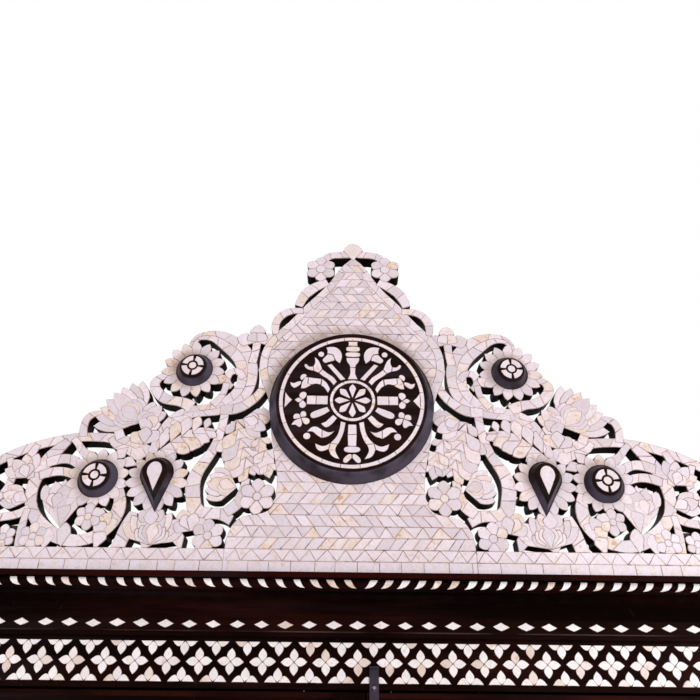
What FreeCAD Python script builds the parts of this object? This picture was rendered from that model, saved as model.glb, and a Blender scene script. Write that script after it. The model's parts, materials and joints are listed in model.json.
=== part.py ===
import FreeCAD, Part
import math
import os
import re

# Inlaid armoire: two doors over two drawers, a stepped cornice and a pierced crest.
# Millimetres, +Z up, front towards -Y, origin on the floor under the middle.

SIZES = {
    "case_width": 1120,
    "case_depth": 480,
    "foot_height": 100,
    "base_rail_height": 50,
    "drawer_opening_height": 170,
    "drawer_rail_height": 40,
    "door_opening_height": 1230,
    "frieze_height": 52,
    "face_thickness": 24,
    "face_stile_width": 60,
    "side_thickness": 24,
    "floor_thickness": 18,
    "back_thickness": 14,
    "back_board_count": 7,
    "back_board_gap": 1,
    "top_thickness": 16,
    "shelf_thickness": 18,
    "shelf_setback": 20,
    "shelf_clearance": 1,
    "cleat_height": 28,
    "cleat_width": 20,
    "divider_width": 24,
    "guide_height": 22,
    "foot_radius": 54,
    "foot_swell_share": 0.61,
    "foot_inset": 62,
    "neck_radius": 36,
    "neck_height": 20,
    "block_width": 84,
    "stile_width": 58,
    "top_rail_width": 62,
    "middle_rail_width": 66,
    "bottom_rail_width": 78,
    "groove_width": 10,
    "groove_depth": 11,
    "tenon_length": 34,
    "tenon_shoulder": 9,
    "joint_clearance": 0.2,
    "panel_clearance": 1.5,
    "field_margin": 26,
    "field_bevel": 22,
    "panel_recess": 4,
    "door_thickness": 26,
    "door_gap": 2.5,
    "door_proud": 0.5,
    "door_middle_height": 400,
    "strip_width": 35,
    "strip_thickness": 9,
    "strip_clearance": 1,
    "side_stile_width": 70,
    "side_bottom_rail": 76,
    "side_top_rail": 138,
    "side_rail": 64,
    "drawer_gap": 2,
    "drawer_front": 20,
    "drawer_wall": 12,
    "drawer_back_room": 46,
    "drawer_box_height": 136,
    "drawer_dado": 8,
    "drawer_floor": 6,
    "drawer_floor_lift": 12,
    "drawer_groove": 6,
    "knob_radius": 14,
    "knob_length": 30,
    "knob_neck_radius": 7,
    "knob_rose_radius": 13,
    "knob_rose_thickness": 4,
    "door_knob_height": 640,
    "hinge_height": 66,
    "hinge_leaf_width": 34,
    "hinge_leaf_thickness": 2,
    "knuckle_radius": 4.5,
    "pin_radius": 2,
    "pin_clearance": 0.3,
    "pin_head_radius": 4,
    "hinge_end_distance": 120,
    "strap_width": 10.5,
    "strap_thickness": 2,
    "strap_length": 190,
    "strap_lap": 23,
    "strap_offset": 8,
    "strap_tab": 5,
    "rivet_radius": 3.4,
    "rivet_height": 2,
    "rivet_end_distance": 21,
    "cornice_projection": 60,
    "bead_height": 5,
    "bead_projection": 8,
    "fascia_height": 15,
    "fascia_projection": 11,
    "cove_height": 22.5,
    "cove_projection": 48,
    "cove_radius": 34,
    "round_height": 12,
    "round_setback": 2,
    "cap_thickness": 6.5,
    "crest_setback": 25,
    "crest_inset": 20,
    "crest_rise_share": 0.8333,
    "crest_thickness": 20,
    "saw_blade": 2.2,
    "medallion_radius": 109,
    "medallion_face_radius": 101,
    "medallion_depth": 17,
    "boss_radius": 24.5,
    "boss_face_radius": 17,
    "boss_depth": 14,
    "teardrop_radius": 20.5,
    "teardrop_length": 69,
    "teardrop_depth": 13,
    "teardrop_rim": 5.5,
    "turning_round": 2,
    "brace_width": 44,
    "brace_thickness": 22,
    "brace_foot_length": 90,
    "overrun": 10,
}

# Places worked out from the sizes above, as expressions.
PLACES = {
    "half_width": "case_width / 2",
    "opening": "half_width - face_stile_width",
    "inner": "half_width - side_thickness",
    "face_y": "(cornice_projection - case_depth) / 2",
    "back_y": "(cornice_projection + case_depth) / 2",
    "behind_face": "face_y + face_thickness",
    "back_front": "back_y - back_thickness",
    "drawer_z": "foot_height + base_rail_height",
    "drawer_rail_z": "drawer_z + drawer_opening_height",
    "door_z": "drawer_rail_z + drawer_rail_height",
    "frieze_z": "door_z + door_opening_height",
    "bead_z": "frieze_z + frieze_height",
    "fascia_z": "bead_z + bead_height",
    "cove_z": "fascia_z + fascia_height",
    "round_z": "cove_z + cove_height",
    "cap_z": "round_z + round_height",
    "crest_z": "cap_z + cap_thickness",
    "crest_y": "face_y - cornice_projection + crest_setback",
    "crest_half": "half_width + cornice_projection - crest_inset",
    "crest_rise": "crest_rise_share * crest_half",
    "door_y": "face_y - door_proud",
    "door_height": "door_opening_height - 2 * door_gap",
    "hinge_y": "door_y - knuckle_radius",
    "upper_panel_z": "door_middle_height + middle_rail_width",
    "tongue": "groove_width - 2 * joint_clearance",
    "side_run": "back_y - behind_face",
    "side_height": "cap_z - foot_height",
    "strip_edge": "strip_width / 2",
    "drawer_end": "back_front - drawer_back_room",
}

doc = FreeCAD.newDocument("inlaid_armoire")
sheet = doc.addObject("Spreadsheet::Sheet", "Sizes")
for row, (alias, amount) in enumerate(SIZES.items(), start=1):
    sheet.set(f"A{row}", alias)
    sheet.set(f"B{row}", str(amount))
    sheet.setAlias(f"B{row}", alias)
doc.recompute()

WORD = re.compile(r"[a-z]+(?:_[a-z]+)+|opening|inner|tongue|overrun")
TURN_BACK = FreeCAD.Rotation(FreeCAD.Vector(1, 0, 0), 90)
ALONG_X = FreeCAD.Rotation(FreeCAD.Vector(0, 1, 0), 90)
ALONG_Y = FreeCAD.Rotation(FreeCAD.Vector(1, 0, 0), -90)
parts = []


def bind(text):
    """The expression with every place written out in cells of the sheet."""
    def cell(match):
        word = match.group(0)
        if word in PLACES:
            return f"({bind(PLACES[word])})"
        return f"Sizes.{word}"
    return WORD.sub(cell, text)


def size(alias):
    return float(sheet.get(alias))


def fresh(kind, name):
    return doc.addObject(kind, name)


def place(piece, x="0", y="0", z="0", turn=None):
    """Puts a piece at a bound place, turned by a fixed rotation."""
    if turn is not None:
        piece.Placement = FreeCAD.Placement(FreeCAD.Vector(), turn)
    for axis, text in zip("xyz", (x, y, z)):
        piece.setExpression(f"Placement.Base.{axis}", bind(text))
    return piece


def block(name, across, deep, up):
    """A board given by its three spans."""
    box = fresh("Part::Box", name)
    for length, (low, high) in zip(("Length", "Width", "Height"), (across, deep, up)):
        box.setExpression(length, bind(f"({high}) - ({low})"))
    return place(box, across[0], deep[0], up[0])


def rod(name, radius, length, x, y, z, turn=None):
    cylinder = fresh("Part::Cylinder", name)
    cylinder.setExpression("Radius", bind(radius))
    cylinder.setExpression("Height", bind(length))
    return place(cylinder, x, y, z, turn)


def cone(name, radius, top_radius, length, x, y, z, turn=None):
    frustum = fresh("Part::Cone", name)
    frustum.setExpression("Radius1", bind(radius))
    frustum.setExpression("Radius2", bind(top_radius))
    frustum.setExpression("Height", bind(length))
    return place(frustum, x, y, z, turn)


def fuse(name, pieces):
    joined = fresh("Part::MultiFuse", name)
    joined.Shapes = pieces
    return joined


def cut(name, base, tools):
    carved = fresh("Part::Cut", name)
    carved.Base = base
    carved.Tool = tools[0] if len(tools) == 1 else fuse(f"{name}_tools", tools)
    return carved


def group(name, pieces):
    bundle = fresh("Part::Compound", name)
    bundle.Links = pieces
    return bundle


def part(name, piece):
    """Hands a piece in under its own label."""
    piece.Label = name
    parts.append(piece)
    return piece


def mirrored_spans(low, high):
    """The same span to the left and to the right of the middle."""
    return {"left": (f"-({high})", f"-({low})"), "right": (low, high)}


# Case

def face_rail(name, z_low, z_high):
    """A rail between the face stiles, with a tenon into each."""
    deep = ("face_y", "behind_face")
    body = block(f"{name}_body", ("-opening", "opening"), deep, (z_low, z_high))
    reach = "opening + tenon_length"
    tenon = block(f"{name}_tenon", (f"-({reach})", reach),
                  ("face_y + (face_thickness - tongue) / 2", "face_y + (face_thickness + tongue) / 2"),
                  (f"{z_low} + tenon_shoulder", f"{z_high} - tenon_shoulder"))
    return part(name, fuse(name, [body, tenon]))


def rail_mortise(name, side, z_low, z_high):
    """The pocket for a face rail's tenon in one face stile."""
    shoulder = "tenon_shoulder - joint_clearance"
    across = mirrored_spans("opening - overrun", "opening + tenon_length + joint_clearance")[side]
    middle = "face_y + face_thickness / 2"
    return block(name, across, (f"{middle} - groove_width / 2", f"{middle} + groove_width / 2"),
                 (f"{z_low} + {shoulder}", f"{z_high} - ({shoulder})"))


def face_frame():
    rails = {"base_rail": ("foot_height", "drawer_z"), "drawer_rail": ("drawer_rail_z", "door_z")}
    for name, (low, high) in rails.items():
        face_rail(name, low, high)
    for side, across in mirrored_spans("opening", "half_width").items():
        name = f"{side}_face_stile"
        body = block(f"{name}_body", across, ("face_y", "behind_face"), ("foot_height", "frieze_z"))
        pockets = [rail_mortise(f"{name}_{rail}", side, *span) for rail, span in rails.items()]
        part(name, cut(name, body, pockets))
    part("frieze_board", block("frieze_board", ("-half_width", "half_width"), ("face_y", "behind_face"),
                               ("frieze_z", "cap_z")))


def framework(prefix, run, height, thickness, stile, rails, x, y, z, turn):
    """A frame of two stiles and several rails round raised panels, made at its own corner and then placed."""
    groove_low = f"({thickness} - groove_width) / 2"
    groove = (groove_low, f"{groove_low} + groove_width")
    tongue_low = f"({thickness} - tongue) / 2"
    tongue = (tongue_low, f"{tongue_low} + tongue")
    full = ("0", thickness)

    def rail_tenons(low, high):
        return (f"{low} + groove_depth", f"{high} - groove_depth")

    stiles = []
    for end, across, slot, pocket in (
            ("first", ("0", stile), (f"{stile} - groove_depth", f"{stile} + overrun"),
             (f"{stile} - tenon_length - joint_clearance", f"{stile} + overrun")),
            ("last", (f"{run} - {stile}", run),
             (f"{run} - {stile} - overrun", f"{run} - {stile} + groove_depth"),
             (f"{run} - {stile} - overrun", f"{run} - {stile} + tenon_length + joint_clearance"))):
        body = block(f"{prefix}_{end}_stile_body", across, full, ("0", height))
        slots = [block(f"{prefix}_{end}_slot", slot, groove,
                       (f"{rails[0][1]} - groove_depth", f"{rails[-1][0]} + groove_depth"))]
        for number, (low, high) in enumerate(rails):
            tenon_low, tenon_high = rail_tenons(low, high)
            slots.append(block(f"{prefix}_{end}_mortise_{number}", pocket, groove,
                               (f"{tenon_low} - joint_clearance", f"{tenon_high} + joint_clearance")))
        stiles.append(cut(f"{prefix}_{end}_stile", body, slots))

    cross_pieces = []
    for number, (low, high) in enumerate(rails):
        name = f"{prefix}_rail_{number}"
        body = block(f"{name}_body", (stile, f"{run} - {stile}"), full, (low, high))
        tenon = block(f"{name}_tenon", (f"{stile} - tenon_length", f"{run} - {stile} + tenon_length"), tongue,
                      rail_tenons(low, high))
        channel_run = (stile, f"{run} - {stile}")
        channels = []
        if number > 0:
            channels.append(block(f"{name}_under", channel_run, groove,
                                  (f"{low} - overrun", f"{low} + groove_depth")))
        if number < len(rails) - 1:
            channels.append(block(f"{name}_over", channel_run, groove,
                                  (f"{high} - groove_depth", f"{high} + overrun")))
        ploughed = cut(f"{name}_ploughed", body, channels)
        cross_pieces.append(fuse(name, [ploughed, tenon]))

    panels = []
    reach = "groove_depth - panel_clearance"
    for number, (low, high) in enumerate(zip((rail[1] for rail in rails), (rail[0] for rail in rails[1:]))):
        name = f"{prefix}_panel_{number}"
        board = block(f"{name}_board", (f"{stile} - ({reach})", f"{run} - {stile} + {reach}"), tongue,
                      (f"{low} - ({reach})", f"{high} + {reach}"))
        field = fresh("Part::Wedge", f"{name}_field")
        edge = "(field_margin - field_bevel)"
        for corner, text in {
                "Xmin": f"{stile} + field_margin", "Xmax": f"{run} - {stile} - field_margin",
                "Zmin": f"{low} + field_margin", "Zmax": f"{high} - field_margin",
                "X2min": f"{stile} + {edge}", "X2max": f"{run} - {stile} - {edge}",
                "Z2min": f"{low} + {edge}", "Z2max": f"{high} - {edge}",
                "Ymin": "panel_recess", "Ymax": tongue_low}.items():
            field.setExpression(corner, bind(text))
        panels.append(fuse(name, [board, field]))

    for kind, pieces in (("stiles", stiles), ("rails", cross_pieces), ("panels", panels)):
        bundle = group(f"{prefix}_{kind}", pieces)
        part(f"{prefix}_{kind}", place(bundle, x, y, z, turn))


def sides():
    middle = "(door_z + frieze_z) / 2 - foot_height"
    rails = [("0", "side_bottom_rail"),
             ("door_z - foot_height - side_rail", "door_z - foot_height"),
             (f"{middle} - side_rail / 2", f"{middle} + side_rail / 2"),
             ("side_height - side_top_rail", "side_height")]
    up = FreeCAD.Vector(0, 0, 1)
    framework("left_side", "side_run", "side_height", "side_thickness", "side_stile_width", rails,
              "-half_width", "back_y", "foot_height", FreeCAD.Rotation(up, -90))
    framework("right_side", "side_run", "side_height", "side_thickness", "side_stile_width", rails,
              "half_width", "behind_face", "foot_height", FreeCAD.Rotation(up, 90))


def boards():
    """Floors, back, top, divider, guides, shelves and their cleats."""
    across = ("-inner", "inner")
    deep = ("behind_face", "back_front")
    part("bottom_board", block("bottom_board", across, deep, ("drawer_z - floor_thickness", "drawer_z")))
    part("deck_board", block("deck_board", across, deep, ("door_z - floor_thickness", "door_z")))
    part("top_board", block("top_board", across, deep, ("cap_z - top_thickness", "cap_z")))
    part("drawer_divider", block("drawer_divider", ("-divider_width / 2", "divider_width / 2"),
                                 ("face_y", "back_front"), ("drawer_z", "drawer_rail_z")))
    guides = [block(f"{side}_guide", span, deep, ("drawer_z", "drawer_z + guide_height"))
              for side, span in mirrored_spans("opening", "inner").items()]
    part("drawer_guides", group("drawer_guides", guides))

    count = int(size("back_board_count"))
    pitch = "(2 * (inner) / back_board_count)"
    back = []
    for number in range(count):
        left = f"-inner + {number} * {pitch}"
        back.append(block(f"back_board_{number}", (left, f"{left} + {pitch} - back_board_gap"),
                          ("back_front", "back_y"), ("foot_height", "cap_z")))
    part("back_boards", group("back_boards", back))

    cleats = []
    for number, name in enumerate(("lower_shelf", "middle_shelf", "upper_shelf"), start=1):
        underside = f"door_z + {number} * (door_opening_height / 4)"
        shelf_deep = ("behind_face + shelf_setback", "back_front")
        part(name, block(name, ("-(inner - shelf_clearance)", "inner - shelf_clearance"), shelf_deep,
                         (underside, f"{underside} + shelf_thickness")))
        for side, span in mirrored_spans("inner - cleat_width", "inner").items():
            cleats.append(block(f"{name}_{side}_cleat", span, shelf_deep,
                                (f"{underside} - cleat_height", underside)))
    part("shelf_cleats", group("shelf_cleats", cleats))


def feet():
    """Turned bun feet under glue blocks in the corners."""
    buns, blocks = [], []
    bun_height = "(foot_height - neck_height)"
    for side, sign in (("left", "-"), ("right", "")):
        for end, y in (("front", "face_y + foot_inset"), ("back", "back_y - foot_inset")):
            x = f"{sign}(half_width - foot_inset)"
            ball = fresh("Part::Ellipsoid", f"{end}_{side}_ball")
            ball.setExpression("Radius1", bind(f"{bun_height} * foot_swell_share"))
            ball.setExpression("Radius2", bind("foot_radius"))
            ball.setExpression("Radius3", bind("foot_radius"))
            place(ball, x, y, f"{bun_height} / 2")
            stock = rod(f"{end}_{side}_stock", "foot_radius + overrun", bun_height, x, y, "0")
            bun = fresh("Part::MultiCommon", f"{end}_{side}_bun")
            bun.Shapes = [ball, stock]
            neck = rod(f"{end}_{side}_neck", "neck_radius", "neck_height", x, y, bun_height)
            buns.append(fuse(f"{end}_{side}_foot", [bun, neck]))
            across = mirrored_spans("inner - block_width", "inner")[side]
            deep = {"front": ("behind_face", "behind_face + block_width"),
                    "back": ("back_front - block_width", "back_front")}[end]
            blocks.append(block(f"{end}_{side}_block", across, deep,
                                ("foot_height", "drawer_z - floor_thickness")))
    part("feet", group("feet", buns))
    part("foot_blocks", group("foot_blocks", blocks))


# Doors

DOORS = {"left": ("-opening + door_gap", "strip_edge"),
         "right": ("strip_edge + door_gap", "opening - door_gap")}


def knob(name, x, y, z):
    """A turned knob on its rose, standing forward of a face at y."""
    rose = rod(f"{name}_rose", "knob_rose_radius", "knob_rose_thickness", x, y, z, TURN_BACK)
    neck = cone(f"{name}_neck", "knob_neck_radius", "knob_neck_radius / 2 + knob_neck_radius / 4",
                "knob_length - knob_radius", x, y, z, TURN_BACK)
    ball = fresh("Part::Ellipsoid", f"{name}_ball")
    ball.setExpression("Radius1", bind("knob_radius * 3 / 4"))
    ball.setExpression("Radius2", bind("knob_radius"))
    ball.setExpression("Radius3", bind("knob_radius"))
    place(ball, x, f"{y} - knob_length + knob_radius * 3 / 4", z, TURN_BACK)
    return fuse(name, [rose, neck, ball])


def doors():
    rails = [("0", "bottom_rail_width"), ("door_middle_height", "upper_panel_z"),
             ("door_height - top_rail_width", "door_height")]
    for side, (low, high) in DOORS.items():
        framework(f"{side}_door", f"({high} - ({low}))", "door_height", "door_thickness", "stile_width", rails,
                  low, "door_y", "door_z + door_gap", None)
    part("left_door_strip", block("left_door_strip", ("-strip_edge", "strip_edge"),
                                  ("door_y - strip_thickness", "door_y"),
                                  ("door_z + door_gap + strip_clearance",
                                   "frieze_z - door_gap - strip_clearance")))
    knob_z = "door_z + door_knob_height"
    part("left_door_knob", knob("left_door_knob", "0", "door_y - strip_thickness", knob_z))
    part("right_door_knob", knob("right_door_knob", "strip_edge + door_gap + stile_width / 2", "door_y",
                                 knob_z))


def hinge_leaf(name, x, toward, base_y, z, spans):
    """One leaf on a face, with its knuckles round the axis at x; toward is the sign of the way it lies."""
    def across(low, high):
        return (f"{x} + {low}", f"{x} + {high}") if toward > 0 else (f"{x} - ({high})", f"{x} - ({low})")

    deep = (f"{base_y} - hinge_leaf_thickness", base_y)
    edge = "knuckle_radius + pin_clearance"
    pieces = [block(f"{name}_plate", across(edge, "hinge_leaf_width"), deep, (z, f"{z} + hinge_height"))]
    for number, (low, high) in enumerate(spans):
        pieces.append(block(f"{name}_tongue_{number}", across("0", edge), ("hinge_y", "door_y"),
                            (f"{z} + {low}", f"{z} + {high}")))
        pieces.append(rod(f"{name}_knuckle_{number}", "knuckle_radius", f"{high} - ({low})", x, "hinge_y",
                          f"{z} + {low}"))
    bore = rod(f"{name}_bore", "pin_radius + pin_clearance", "hinge_height + 2 * overrun", x, "hinge_y",
               f"{z} - overrun")
    return cut(name, fuse(f"{name}_solid", pieces), [bore])


def hinges():
    third = "hinge_height / 3"
    ends = [("0", third), (f"2 * {third}", "hinge_height")]
    centre = [(f"{third} + pin_clearance", f"2 * {third} - pin_clearance")]
    heights = {"low": "door_z + hinge_end_distance",
               "middle": "door_z + (door_opening_height - hinge_height) / 2",
               "high": "frieze_z - hinge_end_distance - hinge_height"}
    case_leaves, pins = [], []
    for side, x, outward in (("left", "-opening", -1), ("right", "opening", 1)):
        door_leaves = []
        for level, z in heights.items():
            name = f"{side}_{level}"
            case_leaves.append(hinge_leaf(f"{name}_case_leaf", x, outward, "face_y", z, ends))
            door_leaves.append(hinge_leaf(f"{name}_door_leaf", x, -outward, "door_y", z, centre))
            shank = rod(f"{name}_shank", "pin_radius", "hinge_height", x, "hinge_y", z)
            head = cone(f"{name}_head", "pin_head_radius", "pin_head_radius / 2", "pin_head_radius",
                        x, "hinge_y", f"{z} + hinge_height")
            pins.append(fuse(f"{name}_pin", [shank, head]))
        part(f"{side}_door_hinge_leaves", group(f"{side}_door_hinge_leaves", door_leaves))
    part("case_hinge_leaves", group("case_hinge_leaves", case_leaves))
    part("hinge_pins", group("hinge_pins", pins))


def strap():
    """A narrow steel strap on the right door that laps the frieze, with a turned-out end and rivets."""
    low_x = "strip_edge + door_gap + strap_offset - strap_width / 2"
    across = (low_x, f"{low_x} + strap_width")
    top = "frieze_z + strap_lap"
    flat = block("strap_flat", across, ("door_y - strap_thickness", "door_y"), (f"{top} - strap_length", top))
    tab = block("strap_tab_end", across, ("door_y - strap_thickness - strap_tab", "door_y"),
                (f"{top} - strap_thickness", top))
    part("door_strap", fuse("door_strap", [flat, tab]))
    rivets = []
    for level, z in (("high", f"{top} - rivet_end_distance"),
                     ("low", f"{top} - strap_length + rivet_end_distance / 2")):
        rivets.append(cone(f"strap_rivet_{level}", "rivet_radius", "rivet_radius / 2", "rivet_height",
                           f"{low_x} + strap_width / 2", "door_y - strap_thickness", z, TURN_BACK))
    part("strap_rivets", group("strap_rivets", rivets))


# Drawers

def drawer(side, span):
    """Front, walls, floor and two knobs; the walls are let into the front and the floor into both."""
    prefix = f"{side}_drawer"
    low, high = span
    left, right = f"{low} + drawer_gap", f"{high} - drawer_gap"
    z = "drawer_z + drawer_gap"
    box_z = ("drawer_z", "drawer_z + drawer_box_height")
    front_back = "face_y + drawer_front"
    front = block(f"{prefix}_front_board", (left, right), ("face_y", front_back),
                  (z, "drawer_rail_z - drawer_gap"))
    dado = (f"{front_back} - drawer_dado", f"{front_back} + overrun")
    wall_y = (f"{front_back} - drawer_dado + joint_clearance", "drawer_end")
    walls, slots = [], []
    floor_z = f"{box_z[0]} + drawer_floor_lift"
    floor_x = (f"{left} + drawer_wall - drawer_groove + joint_clearance",
               f"{right} - drawer_wall + drawer_groove - joint_clearance")
    channel = block(f"{prefix}_channel",
                    (f"{left} + drawer_wall - drawer_groove", f"{right} - drawer_wall + drawer_groove"),
                    (f"{front_back} - drawer_groove", "drawer_end + overrun"),
                    (f"{floor_z} - joint_clearance", f"{floor_z} + drawer_floor + joint_clearance"))
    wall_spans = {"first": (left, f"{left} + drawer_wall"), "last": (f"{right} - drawer_wall", right)}
    for end, across in wall_spans.items():
        wall = block(f"{prefix}_{end}_wall_board", across, wall_y, box_z)
        walls.append(cut(f"{prefix}_{end}_wall", wall, [channel]))
        grown = (f"{across[0]} - joint_clearance", f"{across[1]} + joint_clearance")
        slots.append(block(f"{prefix}_{end}_dado", grown, dado,
                           (f"{z} - overrun", f"{box_z[1]} + joint_clearance")))
    walls.append(block(f"{prefix}_back", (f"{left} + drawer_wall", f"{right} - drawer_wall"),
                       (f"{wall_y[1]} - drawer_wall", wall_y[1]), (f"{floor_z} + drawer_floor", box_z[1])))
    part(f"{prefix}_front", cut(f"{prefix}_front", front, slots + [channel]))
    part(f"{prefix}_box", group(f"{prefix}_box", walls))
    part(f"{prefix}_floor", block(f"{prefix}_floor", floor_x,
                                  (f"{front_back} - drawer_groove + joint_clearance", wall_y[1]),
                                  (floor_z, f"{floor_z} + drawer_floor")))
    knobs = [knob(f"{prefix}_knob_{number}", f"{low} + ({high} - ({low})) * {share}", "face_y",
                  "drawer_z + drawer_opening_height / 2")
             for number, share in enumerate(("1 / 4", "3 / 4"))]
    part(f"{prefix}_knobs", group(f"{prefix}_knobs", knobs))


def drawers():
    for side, span in mirrored_spans("divider_width / 2", "opening").items():
        drawer(side, span)


# Cornice

def on_face(face, run, forward, up):
    """Spans along a face of the case, forward of it and upward, as spans across, deep and up."""
    low, high = forward
    if face == "front":
        return run, (f"face_y - ({high})", f"face_y - ({low})"), up
    return mirrored_spans(f"half_width + {low}", f"half_width + {high}")[face], run, up


def moulding_rod(name, face, radius, run, forward, z):
    """A round bar along a face of the case."""
    length = f"{run[1]} - ({run[0]})"
    if face == "front":
        return rod(name, radius, length, run[0], f"face_y - ({forward})", z, ALONG_X)
    sign = "-" if face == "left" else ""
    return rod(name, radius, length, f"{sign}(half_width + {forward})", run[0], z, ALONG_Y)


def mitre(name, side, angle):
    """A square block standing on a front corner of the case, turned so that one face is the mitre."""
    sign = "-" if side == "left" else ""
    cutter = block(name, ("0", "4 * cornice_projection"), ("0", "4 * cornice_projection"),
                   ("frieze_z", "cap_z + overrun"))
    return place(cutter, f"{sign}half_width", "face_y", "frieze_z",
                 FreeCAD.Rotation(FreeCAD.Vector(0, 0, 1), angle))


def mitred(name, face, solid):
    """Cuts the ends of a length of moulding where it meets the next face."""
    if face == "front":
        cutters = [mitre(f"{name}_left_mitre", "left", 135), mitre(f"{name}_right_mitre", "right", -45)]
    else:
        cutters = [mitre(f"{name}_mitre", face, 225 if face == "left" else -135)]
    return part(name, cut(name, solid, cutters))


def cornice():
    chord = "sqrt((cove_projection - fascia_projection) ^ 2 + cove_height ^ 2)"
    lift = f"sqrt(cove_radius ^ 2 - ({chord} / 2) ^ 2) / {chord}"
    cove_forward = f"(cove_projection + fascia_projection) / 2 + cove_height * {lift}"
    cove_axis = f"cove_z + cove_height / 2 - (cove_projection - fascia_projection) * {lift}"
    for face in ("front", "left", "right"):
        if face == "front":
            run = ("-(half_width + cornice_projection)", "half_width + cornice_projection")
        else:
            run = ("face_y - cornice_projection", "back_y")
        name = f"cornice_bed_{face}"
        bead = block(f"{name}_bead", *on_face(face, run, ("0", "bead_projection"), ("bead_z", "fascia_z")))
        fascia = block(f"{name}_fascia",
                       *on_face(face, run, ("0", "fascia_projection"), ("fascia_z", "cove_z")))
        stock = block(f"{name}_stock", *on_face(face, run, ("0", "cove_projection"), ("cove_z", "round_z")))
        hollow = moulding_rod(f"{name}_hollow", face, "cove_radius", run, cove_forward, cove_axis)
        cove = cut(f"{name}_cove", stock, [hollow])
        mitred(name, face, fuse(f"{name}_solid", [bead, fascia, cove]))

        name = f"cornice_round_{face}"
        centre = "cornice_projection - round_setback - round_height / 2"
        stock = block(f"{name}_stock", *on_face(face, run, ("0", centre), ("round_z", "cap_z")))
        nose = moulding_rod(f"{name}_nose", face, "round_height / 2", run, centre, "round_z + round_height / 2")
        mitred(name, face, fuse(f"{name}_solid", [stock, nose]))
    reach = "half_width + cornice_projection"
    part("cornice_cap", block("cornice_cap", (f"-({reach})", reach), ("face_y - cornice_projection", "back_y"),
                              ("cap_z", "crest_z")))


# Crest: every form is drawn for one half, across in shares of the half length and up in shares of the rise,
# and mirrored. Widths and radii are shares of the rise.

FIELD_SHARES = [(0.0, 0.930), (0.022, 0.905), (0.055, 0.842), (0.082, 0.798), (0.112, 0.757),
                (0.152, 0.694), (0.184, 0.652), (0.204, 0.612), (0.211, 0.565), (0.208, 0.525),
                (0.196, 0.488), (0.182, 0.440), (0.172, 0.350), (0.158, 0.270), (0.152, 0.210),
                (0.166, 0.152), (0.222, 0.132), (0.242, 0.096), (0.246, 0.050)]

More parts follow.
